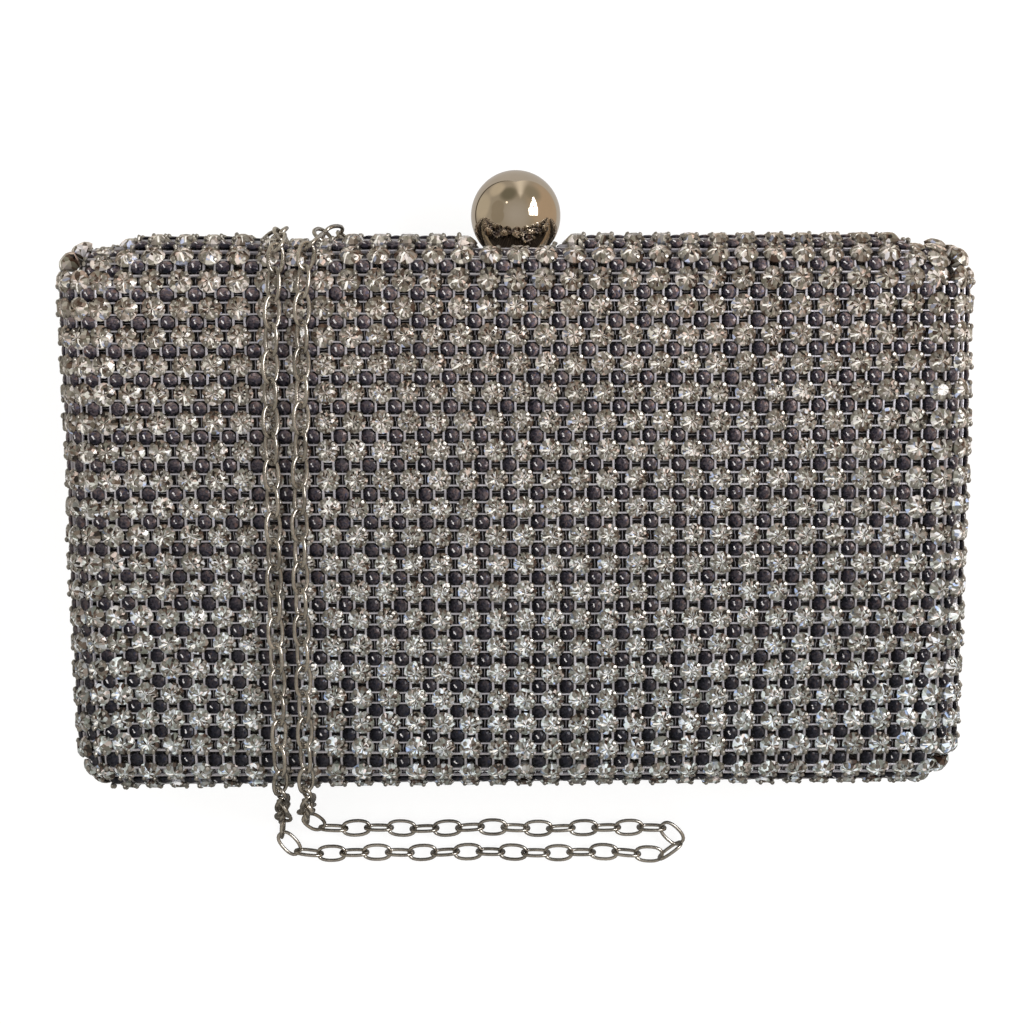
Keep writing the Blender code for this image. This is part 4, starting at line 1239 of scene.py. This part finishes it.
@dataclass
class CableChain:
    """The cable chain, one link through the next along the route that the chain was laid on."""

    wire: float = 0.445 * MM
    link_length: float = 7.7 * MM
    link_width: float = 4.65 * MM
    link_steps: int = 22
    link_sides: int = 8
    squareness: Span = (0.86, 0.78)
    wobble: Span = (0.04, 0.03)
    seed: int = 5
    pitch: float = 5.75 * MM
    thick: float = 4.6 * MM
    sunk: float = 1.9 * MM
    sunk_up: Span = (57.0 * MM, 63.5 * MM)
    look_ahead: float = 0.45
    cut_short: float = 0.35
    off_floor: float = 0.2
    roll: float = math.radians(43.0)
    roll_up: Span = (6.0 * MM, 22.0 * MM)
    core: tuple[Span, Span] = ((-51.5, 51.5), (10.0, 30.0))
    drop_back: float = -63.0
    drop_up: Span = (6.0, 31.0)
    drop_facing: Point = (0.0, -0.35, 1.0)
    bend_start: Point = (0.0, -66.4, 31.0)
    bend_end: Point = (0.0, -75.8, 11.0)

    def path(self) -> list[Vector]:
        """Closely spaced points on a centripetal spline through the route, down between the crystals."""
        points = [Vector(p) * MM for p in CHAIN_ROUTE]
        for point in points:
            point.y -= self.sunk * ease(point.y, *self.sunk_up)
        points = [2 * points[0] - points[1], *points, 2 * points[-1] - points[-2]]
        curve = []
        for a, b, c, d in zip(points, points[1:], points[2:], points[3:]):
            knots = [0.0]
            for p, q in ((a, b), (b, c), (c, d)):
                knots.append(knots[-1] + math.sqrt((q - p).length))
            pieces = max(2, math.ceil((c - b).length / (0.5 * MM)))
            for step in range(pieces):
                t = knots[1] + (knots[2] - knots[1]) * step / pieces
                curve.append(self.on_spline((a, b, c, d), knots, t))
        return curve + [points[-2]]

    @staticmethod
    def on_spline(points: Sequence[Vector], knots: Sequence[float], t: float) -> Vector:
        """A point between the second and third points of a centripetal spline.

        Args:
            points: The four points.
            knots: Their four knots.
            t: Where between the knots.

        Returns:
            The point.
        """

        def between(p: Vector, q: Vector, low: float, high: float) -> Vector:
            """A point between two others."""
            return p * ((high - t) / (high - low)) + q * ((t - low) / (high - low))

        a, b, c, d = points
        k0, k1, k2, k3 = knots
        ab, bc, cd = between(a, b, k0, k1), between(b, c, k1, k2), between(c, d, k2, k3)
        return between(between(ab, bc, k0, k2), between(bc, cd, k1, k3), k1, k2)

    def link(self) -> bpy.types.Mesh:
        """One oval link that lies flat along X."""
        bm = bmesh.new()
        halves = (self.link_length / 2 - self.wire, self.link_width / 2 - self.wire)
        centre = []
        for spot in circle(self.link_steps):
            sizes = zip(halves, spot, self.squareness)
            x, y = (half * math.copysign(abs(share) ** power, share) for half, share, power in sizes)
            centre.append(Vector((x, y, 0)))
        rows = []
        for k, point in enumerate(centre):
            ahead = (centre[(k + 1) % self.link_steps] - centre[k - 1]).normalized()
            out = Vector((ahead.y, -ahead.x, 0))
            spots = (out * c + Vector((0, 0, s)) for c, s, _ in circle(self.link_sides))
            rows.append([bm.verts.new(point + self.wire * spot) for spot in spots])
        skin(bm, rows + rows[:1])
        return plain_mesh("link", bm, 70)

    def seats(self, path: Sequence[Vector]) -> list[Seat]:
        """Where each link goes, turned against the last.

        Args:
            path: The points of the chain's route.

        Returns:
            One seat for each link.
        """
        spots = np.array(path)
        gone = np.concatenate(([0.0], np.cumsum(np.linalg.norm(np.diff(spots, axis=0), axis=1))))
        count = round((gone[-1] + self.link_length - self.pitch) / self.pitch)
        margin = self.link_length / 2 - self.wire
        step = self.pitch * self.look_ahead
        seats = []
        for k in range(count):
            at = margin + (gone[-1] - 2 * margin) * k / (count - 1)
            here, before, after = (
                Vector([np.interp(at + shift, gone, spots[:, axis]) for axis in range(3)])
                for shift in (0.0, -step, step)
            )
            ahead = (after - before).normalized()
            middle = (before + after) / 2 * self.cut_short + here * (1.0 - self.cut_short)
            up = self.up(middle)
            up = (up - ahead * up.dot(ahead)).normalized()
            lie = min(max((here.z - self.roll_up[0]) / self.roll_up[1], 0.0), 1.0)
            facing = Matrix.Rotation(self.roll * lie + QUARTER * (k % 2), 3, ahead) @ up
            aside = facing.cross(ahead)
            reach = abs(ahead.z) * self.link_length / 2 + abs(aside.z) * self.link_width / 2
            middle.z = max(middle.z, reach + self.wire * self.off_floor)
            seats.append(Seat(middle, facing, ahead))
        return seats

    def up(self, point: Vector) -> Vector:
        """The way out of what the chain lies on at a place.

        Args:
            point: The place on the route.

        Returns:
            A direction of length 1.
        """
        y, z = point.y / MM, point.z / MM
        if y < self.drop_back and z < self.drop_up[1]:
            return Vector(self.drop_facing if z > self.drop_up[0] else (0, 0, 1))
        inner_y, inner_z = (max(low, min(value, high)) for value, (low, high) in zip((y, z), self.core))
        return Vector((0, y - inner_y, z - inner_z)).normalized()

    def build(self) -> None:
        path = self.path()
        length = sum((b - a).length for a, b in zip(path, path[1:]))
        seats = self.seats(path)
        chain = Grower.grow("cable_chain", self.link(), seats, CHAIN_NICKEL, self.wobble, self.seed)
        stretches = ("left_strand", "left_drop", "floor_run", "right_drop", "right_strand")
        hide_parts(*[f"chain_{name}" for name in stretches])
        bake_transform(chain)
        [tuple(p) for p in path[::4]] + [tuple(path[-1])]
        LOG.info("cable_chain: %.1f mm, %d faces", length / MM, len(chain.data.polygons))


@dataclass
class BallClasp:
    """The polished ball of the clasp."""

    radius: float = 10.05 * MM
    centre: Point = (0.0, 67.0 * MM, 20.0 * MM)
    bore: float = 1.5 * MM
    bore_depth: float = 5.0 * MM
    rings: int = 48
    sides: int = 96

    def build(self) -> None:
        """Builds the ball, bored for its stem."""
        start = math.asin(self.bore / self.radius)
        floor = self.bore_depth - self.radius
        profile = [(0.0, floor), (self.bore, floor), (self.bore, -self.radius * math.cos(start))]
        for k in range(1, self.rings):
            turn = start + (math.pi - start) * k / self.rings
            profile.append((self.radius * math.sin(turn), -self.radius * math.cos(turn)))
        profile.append((0.0, self.radius))
        place = Matrix.Translation(self.centre) @ Matrix.Rotation(-QUARTER, 4, "X")
        mesh = plain_mesh("clasp_ball", lathe(profile, self.sides, place), 40)
        finished(new_object("clasp_ball", mesh, BALL_MIRROR), Body.LATCH, ["ball_knob"])


@dataclass
class Lining:
    """Cloth that follows the inside of one half as a soft tray, with both its faces."""

    form: BoxForm
    side: Side
    word: str
    outer: float
    inner: float
    finish: Finish
    pucker: float = 0.0
    ball_places: Sequence[Point] = ()
    ball_room: float = 10.7 * MM
    corner: float = 11.0 * MM
    least: float = 0.8 * MM
    tightest: float = 0.3 * MM
    middle_gap: float = 0.5 * MM
    waves: tuple[Span, Span] = ((1.9, 0.7), (0.83, -1.3))
    around: int = 12
    corner_steps: int = 8
    wall_steps: int = 4
    bend_steps: int = 6
    flat_steps: int = 16

    def cleared(self, piece: bpy.types.Object) -> bpy.types.Object:
        """Cuts the ball's room out of the tray, at rest and when the ball is pressed.

        Args:
            piece: The tray.

        Returns:
            The cut tray, in the first one's place.
        """
        balls = []
        for place in self.ball_places:
            bm = bmesh.new()
            spot = Matrix.Translation(Vector(place) * MM)
            bmesh.ops.create_icosphere(bm, subdivisions=4, radius=self.ball_room, matrix=spot)
            balls.append(new_object("ball_room", plain_mesh("ball_room", bm)))
            cut = piece.modifiers.new("room", "BOOLEAN")
            cut.operation = "DIFFERENCE"
            cut.solver = "EXACT"
            cut.object = balls[-1]
        name = piece.name
        return new_object(name, settled(piece, *balls), self.finish)

    def walls(self, offset: float) -> Span:
        """The radius of the bend and the height of the wall at a depth under the surface."""
        edge = max(self.form.edge - offset, self.least)
        return edge, self.form.half_z - offset - edge - self.form.seam

    def runs(self, offset: float) -> list[float]:
        """The lengths over the surface, from the seam, where the tray has a ring.

        Args:
            offset: The depth under the surface.

        Returns:
            The lengths in order.
        """
        edge, wall = self.walls(offset)
        bend = edge * QUARTER
        flat = self.form.half_y - offset - edge - self.middle_gap
        runs = [wall * k / self.wall_steps for k in range(self.wall_steps)]
        runs += [wall + bend * k / self.bend_steps for k in range(self.bend_steps)]
        return runs + [wall + bend + flat * k / self.flat_steps for k in range(self.flat_steps + 1)]

    def ring(self, offset: float, run: float) -> list[Vector]:
        """One ring of the tray at a length over its surface from the seam.

        Args:
            offset: The depth under the surface.
            run: The length.

        Returns:
            The ring's points.
        """
        form = self.form
        edge, wall = self.walls(offset)
        turn = min(max(run - wall, 0.0) / edge, QUARTER)
        inset = edge * (1 - math.cos(turn)) + max(run - wall - edge * QUARTER, 0.0)
        height = form.seam + min(run, wall) + edge * math.sin(turn)
        corner = max(max(self.corner - offset, edge + self.least) - inset, self.tightest)
        half_x, half_y = (half - offset - inset - corner for half in (form.half_x, form.half_y))
        arcs = []
        for k, (sx, sy) in enumerate(((1, 1), (-1, 1), (-1, -1), (1, -1))):
            centre = Vector((sx * half_x, sy * half_y, height))
            turns = [QUARTER * (k + step / self.corner_steps) for step in range(self.corner_steps + 1)]
            arcs.append([centre + corner * Vector((math.cos(t), math.sin(t), 0)) for t in turns])
        points = []
        for arc, after in zip(arcs, arcs[1:] + arcs[:1]):
            points += arc
            points += [arc[-1].lerp(after[0], step / self.around) for step in range(1, self.around)]
        return points

    def blank(self) -> Span:
        """The width and length of the cut cloth, from seam to seam over the surface."""
        form = self.form
        edge, wall = self.walls((self.outer + self.inner) / 2)
        over = edge * QUARTER + wall - form.edge
        return 2 * (form.half_x + over), 2 * (form.half_y + over)

    def build(self) -> None:
        rows = [self.ring(self.outer, run) for run in reversed(self.runs(self.outer))]
        centre = Vector((0, 0, self.form.seam))
        for depth, run in enumerate(self.runs(self.inner)):
            row = self.ring(self.inner, run)
            for k, point in enumerate(row):
                wave = sum(math.sin(k * a + depth * b) for a, b in self.waves) / 2
                loose = self.pucker * (1 + wave) / 2 * min(depth / 3, 1)
                point += (centre - point).normalized() * loose
            rows.append(row)
        bm = bmesh.new()
        rings = [[bm.verts.new(self.form.placed(p, self.side)) for p in row] for row in rows]
        skin(bm, rings, capped=True)
        node = f"{self.side.word}_{self.word}"
        piece = self.cleared(new_object(node + "_sheet", plain_mesh(self.word, bm, 50), self.finish))
        finished(piece, self.side.body, [node])
        area = sum(face.area for face in piece.data.polygons) / 2
        flat = self.blank()
        LOG.info("%s: cut %.1f x %.1f mm, %.1f cm2", piece.name, flat[0] / MM, flat[1] / MM, area * 1e4)


class Fittings:
    """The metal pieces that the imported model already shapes, with eased edges and their finish."""

    @staticmethod
    def dress(
        node: str,
        body: Body,
        finish: Finish = HARDWARE_NICKEL,
        slot: str = "hardware",
        ease_width: float = 0.12 * MM,
        bend: Bend | None = None,
    ) -> None:
        """Stands a copy with eased edges in for a node.

        Args:
            node: The node's name.
            body: The body that it rides on.
            finish: Its finish.
            slot: Not used.
            ease_width: The width of the eased edges.
            bend: Where it bends across a joint, if it does.
        """
        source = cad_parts[node]
        bm = bmesh.new()
        bm.from_mesh(source.data)
        bmesh.ops.transform(bm, matrix=source.matrix_world, verts=bm.verts)
        bmesh.ops.remove_doubles(bm, verts=bm.verts, dist=1e-6)
        bmesh.ops.dissolve_limit(bm, angle_limit=math.radians(1), verts=bm.verts, edges=bm.edges)
        if ease_width:
            least = math.radians(50)
            sharp = [e for e in bm.edges if len(e.link_faces) == 2 and e.calc_face_angle(0.0) > least]
            look = {"segments": 2, "affect": "EDGES", "profile": 0.6, "clamp_overlap": True}
            bmesh.ops.bevel(bm, geom=sharp, offset=ease_width, **look)
        finished(new_object(node + "_piece", plain_mesh(node, bm, 38), finish), body, [node], bend)

    def build(self) -> None:
        """Dresses the frames, the hinges, the catch, the lugs and the rings."""
        for side in Side:
            self.dress(f"{side.word}_frame", side.body, FRAME_NICKEL, "frame", 0.3 * MM)
            for where in ("left", "right"):
                self.dress(f"{side.word}_hinge_leaf_{where}", side.body)
        for where in ("left", "right"):
            self.dress(f"hinge_pin_{where}", Body.REAR)
            self.dress(f"bracket_rivet_{where}", Body.REAR)
            self.dress(f"striker_rivet_{where}", Body.FRONT)
            self.dress(f"chain_lug_{where}", Body.FRONT, ease_width=0.0)
            self.dress(f"jump_ring_{where}", Body.FRONT, CHAIN_NICKEL, "chain", 0.0)
        self.dress("striker_plate", Body.FRONT)
        self.dress("latch_bracket", Body.REAR)
        self.dress("latch_pivot_pin", Body.REAR)
        self.dress("latch_lever", Body.LATCH)
        self.dress("knob_stem", Body.LATCH)
        bend = Bend(Body.LATCH, (0.0, 45.0 * MM, 15.0 * MM), (0.0, 52.5 * MM, 15.0 * MM))
        self.dress("latch_spring", Body.REAR, SPRING_STEEL, "spring", 0.05 * MM, bend)


@dataclass(frozen=True)
class RoomSpot:
    """A lighter or darker place of the room, as the mirrors show it: where, how wide, what colour."""

    way: Point
    core: float
    edge: float
    colour: Colour


@dataclass(frozen=True)
class Room:
    """The room that the mirrors show: walls, light and dark places, and a band of pale curtain."""

    walls: tuple[tuple[float, Colour], ...] = (
        (0.0, (0.44, 0.41, 0.36)),
        (0.3, (0.44, 0.41, 0.35)),
        (0.7, (0.40, 0.37, 0.31)),
        (1.0, (0.50, 0.48, 0.45)),
    )
    spots: tuple[RoomSpot, ...] = (
        RoomSpot((0.95, 0.25, 0.10), 15.0, 60.0, (0.56, 0.45, 0.34)),
        RoomSpot((0.60, 0.80, 0.30), 2.0, 26.0, (0.33, 0.305, 0.245)),
        RoomSpot((-0.28, 0.79, 0.53), 9.0, 24.0, (0.21, 0.20, 0.155)),
        RoomSpot((-0.93, 0.28, -0.10), 14.0, 26.0, (0.60, 0.56, 0.47)),
        RoomSpot((-0.58, 0.81, 0.06), 8.0, 20.0, (0.66, 0.61, 0.51)),
        RoomSpot((-0.72, 0.28, 0.62), 15.0, 19.0, (0.36, 0.325, 0.265)),
        RoomSpot((-0.75, -0.02, 0.66), 16.0, 20.0, (0.36, 0.325, 0.265)),
        RoomSpot((-0.38, 0.50, 0.78), 1.5, 3.0, (2.5, 2.3, 2.0)),
    )
    band_side: Point = (0.985, -0.125, -0.12)
    band_rise: Span = (-0.4, 0.75)
    band_reach: Span = (0.42, 0.10)
    band_north: Span = (0.3, 0.6)
    band_top: Span = (0.8, 0.55)
    band_colour: Colour = (0.90, 0.85, 0.76)

    def colour(self, desk: NodeDesk, way: Value) -> Value:
        """The room's colour in a direction.

        Args:
            desk: Where the nodes go.
            way: The direction.

        Returns:
            The colour.
        """
        _, north, rise = desk.parts(way)
        room = desk.ramp(rise, self.walls)
        for spot in self.spots:
            facing = desk.vectors("DOT_PRODUCT", way, Vector(spot.way).normalized())
            near, far = math.cos(math.radians(spot.core)), math.cos(math.radians(spot.edge))
            share = desk.fit(facing, (far, near), way="SMOOTHSTEP")
            room = desk.blend("MIX", room, (*spot.colour, 1.0), share)
        reach = desk.fit(rise, self.band_rise, self.band_reach)
        band = 1.0 - abs(desk.vectors("DOT_PRODUCT", way, self.band_side)) / reach
        band = band * desk.fit(north, self.band_north) * desk.fit(rise, self.band_top)
        share = desk.fit(band, (0.0, 1.0), way="SMOOTHSTEP")
        return desk.blend("MIX", room, (*self.band_colour, 1.0), share)


@dataclass(frozen=True)
class Lamp:
    """A soft lamp that faces the bag: place and size in metres, power in watts."""

    name: str
    place: Point
    size: Span
    power: float
    colour: Colour = (1.0, 1.0, 1.0)
    mirrored: bool = False

    def build(self) -> bpy.types.Light:
        """Adds the lamp to the scene."""
        data = bpy.data.lights.new(self.name, "AREA")
        data.shape = "RECTANGLE"
        data.size, data.size_y = self.size
        data.energy = self.power
        data.color = self.colour
        back = (Vector(self.place) - Vector((0, 0, 0.02))).normalized()
        across = Vector((0, 1, 0)).cross(back).normalized()
        turn = Matrix((across, back.cross(across), back)).transposed()
        thing = bpy.data.objects.new(self.name, data)
        thing.matrix_world = Matrix.Translation(self.place) @ turn.to_4x4()
        thing.visible_glossy = self.mirrored
        bpy.context.scene.collection.objects.link(thing)
        return data


@dataclass
class Studio:
    """The pale floor, the lamps and the camera of the photograph."""

    room: Room = Room()
    focal: float = 1371.24
    image: float = 1024.0
    target: Point = (-1.34, 2.71, 40.0)
    distance: float = 297.06
    towards: Point = (-0.0120, 0.1392, 0.9902)
    roll: float = -0.004
    white: Colour = (0.92, 0.92, 0.92)
    ball: Point = (0.0, 0.067, 0.02)
    # Painted reflection on the floor, which only mirrors see: a pale mat, a dark rim on the left, and
    # painted shade past the bag's lower edge.
    mat_edge: float = 0.037
    mat_soft: float = 0.004
    mat_colour: Colour = (0.56, 0.545, 0.525)
    rim_edge: Span = (0.011, 0.008)
    rim_side: float = -0.05
    rim_colour: Colour = (0.07, 0.055, 0.04)
    shade_down: Span = (-0.04, -0.075)
    shade: float = 0.35
    glow: float = 1.08
    glow_share: float = 0.8
    pane_up: Span = (0.35, 1.0)
    pane_middle: Span = (0.5, 0.8)
    pane_width: Span = (0.5, 0.10)
    pane_soft: Span = (0.02, 0.12)
    bars_at: Span = (0.55, 0.5)
    bars_half: Span = (0.05, 0.03)
    bars_share: float = 0.96
    window: Lamp = Lamp("window", (0.55, 0.34, 0.57), (0.40, 0.62), 9.0, mirrored=True)
    lamps: tuple[Lamp, ...] = (
        Lamp("overhead", (-0.25, 0.45, 0.85), (0.9, 0.7), 3.8, (1.0, 0.98, 0.96)),
        Lamp("below", (0.10, -0.75, 0.25), (0.7, 0.4), 1.6, (0.98, 1.0, 0.98)),
        Lamp("side", (-0.65, -0.25, 0.45), (0.4, 0.6), 1.2, (0.96, 0.98, 1.0)),
    )

    def camera(self) -> None:
        """Places the camera where the photograph was taken."""
        w = Vector(self.towards).normalized()
        r = Vector((0, 1, 0)).cross(w).normalized()
        u = w.cross(r)
        c, s = math.cos(self.roll), math.sin(self.roll)
        turn = Matrix((c * r + s * u, c * u - s * r, w)).transposed()
        data = bpy.data.cameras.new("camera")
        data.lens = self.focal / self.image * data.sensor_width
        data.clip_start = 0.01
        data.clip_end = 20.0
        thing = bpy.data.objects.new("camera", data)
        place = (Vector(self.target) + self.distance * w) * MM
        thing.matrix_world = Matrix.Translation(place) @ turn.to_4x4()
        bpy.context.scene.collection.objects.link(thing)
        bpy.context.scene.camera = thing

    def pane(self, data: bpy.types.Light) -> None:
        """Narrows a lamp towards its top, as a window with its curtains drawn back below.

        Args:
            data: The lamp.
        """
        data.use_nodes = True
        desk = NodeDesk(data.node_tree)
        x, y, _ = desk.parts(desk.value("ShaderNodeNewGeometry", output="Parametric"))
        aside = abs(x - desk.fit(y, self.pane_up, self.pane_middle))
        lit = desk.fit(desk.fit(y, self.pane_up, self.pane_width) - aside, self.pane_soft)
        upright, level = (abs(v - at) < half for v, at, half in zip((x, y), self.bars_at, self.bars_half))
        dark = desk.maths("MAXIMUM", upright, level) * self.bars_share
        desk.feed(data.node_tree.nodes["Emission"], {"Strength": lit * (1.0 - dark)})

    def table(self, desk: NodeDesk) -> Value:
        """The painted reflection that mirrors see on the floor: a pale mat with a dark rim on a darker
        table, with painted shade past the bag's lower edge.

        Args:
            desk: What builds the material's nodes.

        Returns:
            The colour.
        """
        place = desk.place()
        x, y, _ = desk.parts(place)
        way = desk.vectors("NORMALIZE", desk.vectors("SUBTRACT", place, self.ball))
        mat = desk.fit(abs(x), (self.mat_edge + self.mat_soft, self.mat_edge))
        table = desk.blend("MIX", self.room.colour(desk, way), (*self.mat_colour, 1.0), mat)
        rim = desk.fit(abs(x), [self.mat_edge + more for more in self.rim_edge])
        rim = (rim - mat) * (desk.parts(way)[0] < self.rim_side)
        table = desk.blend("MIX", table, (*self.rim_colour, 1.0), rim)
        # Painted shade: the mirrored floor gets darker past the bag's lower edge.
        shade = desk.fit(y, self.shade_down, (1.0, self.shade))
        return desk.blend("MULTIPLY", table, desk.vector(shade, shade, shade))

    def floor(self) -> None:
        """Lays the pale floor, white to the camera but for the shadows."""
        bm = bmesh.new()
        bmesh.ops.create_grid(bm, x_segments=4, y_segments=4, size=3.0)
        thing = new_object("floor", plain_mesh("floor", bm))
        material = bpy.data.materials.new("pale_floor")
        material.use_nodes = True
        desk = NodeDesk(material.node_tree)
        nodes = material.node_tree.nodes
        shader = desk.feed(nodes["Principled BSDF"], {"Base Color": (*self.white, 1.0), "Roughness": 0.9})
        sockets = desk.add("ShaderNodeLightPath").outputs
        seen, glossy = (Value(desk, sockets[name]) for name in ("Is Camera Ray", "Is Glossy Ray"))
        white = desk.value("ShaderNodeEmission", {"Color": (1.0, 1.0, 1.0, 1.0), "Strength": self.glow})
        # Glossy rays see the painted reflection; the camera sees white.
        mirrored = desk.value("ShaderNodeEmission", {"Color": self.table(desk), "Strength": 1.0})
        glow = desk.value("ShaderNodeMixShader", {0: glossy, 1: white, 2: mirrored})
        share = desk.maths("MAXIMUM", seen * self.glow_share, glossy)
        mixed = desk.value("ShaderNodeMixShader", {0: share, 1: Value(desk, shader.outputs[0]), 2: glow})
        desk.feed(nodes["Material Output"], {0: mixed})
        thing.data.materials.append(material)

    def world(self) -> None:
        """A soft room for the mirrors to show, white where the camera sees it."""
        world = bpy.data.worlds.new("room")
        bpy.context.scene.world = world
        world.use_nodes = True
        desk = NodeDesk(world.node_tree)
        room = self.room.colour(desk, desk.value("ShaderNodeTexCoord", output="Generated"))
        seen = desk.value("ShaderNodeLightPath", output="Is Camera Ray")
        colour = desk.blend("MIX", room, (1.0, 1.0, 1.0, 1.0), seen)
        desk.feed(world.node_tree.nodes["Background"], {"Color": colour})

    def build(self) -> None:
        """Sets up the whole studio."""
        bpy.context.scene.view_settings.view_transform = "Standard"
        self.camera()
        self.floor()
        self.world()
        self.pane(self.window.build())
        for lamp in self.lamps:
            lamp.build()


def main() -> None:
    """Builds the bag and its studio, in order."""
    logging.basicConfig(level=logging.INFO, format="%(name)s: %(message)s")
    form = BoxForm()
    Studio().build()
    CableChain().build()
    for side in Side:
        CrystalNet(NetLayout(form, side)).build()
        Lining(form, side, "backing_cloth", 3.3 * MM, 3.9 * MM, BACKING, 0.0, BALL_PLACES).build()
        Lining(form, side, "lining", 6.0 * MM, 7.0 * MM, SATIN, 0.35 * MM).build()
        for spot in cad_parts[f"{side.word}_shell"].material_slots:
            spot.material = BOARD.material()
    BallClasp().build()
    Fittings().build()


if __name__ == "__main__":
    main()
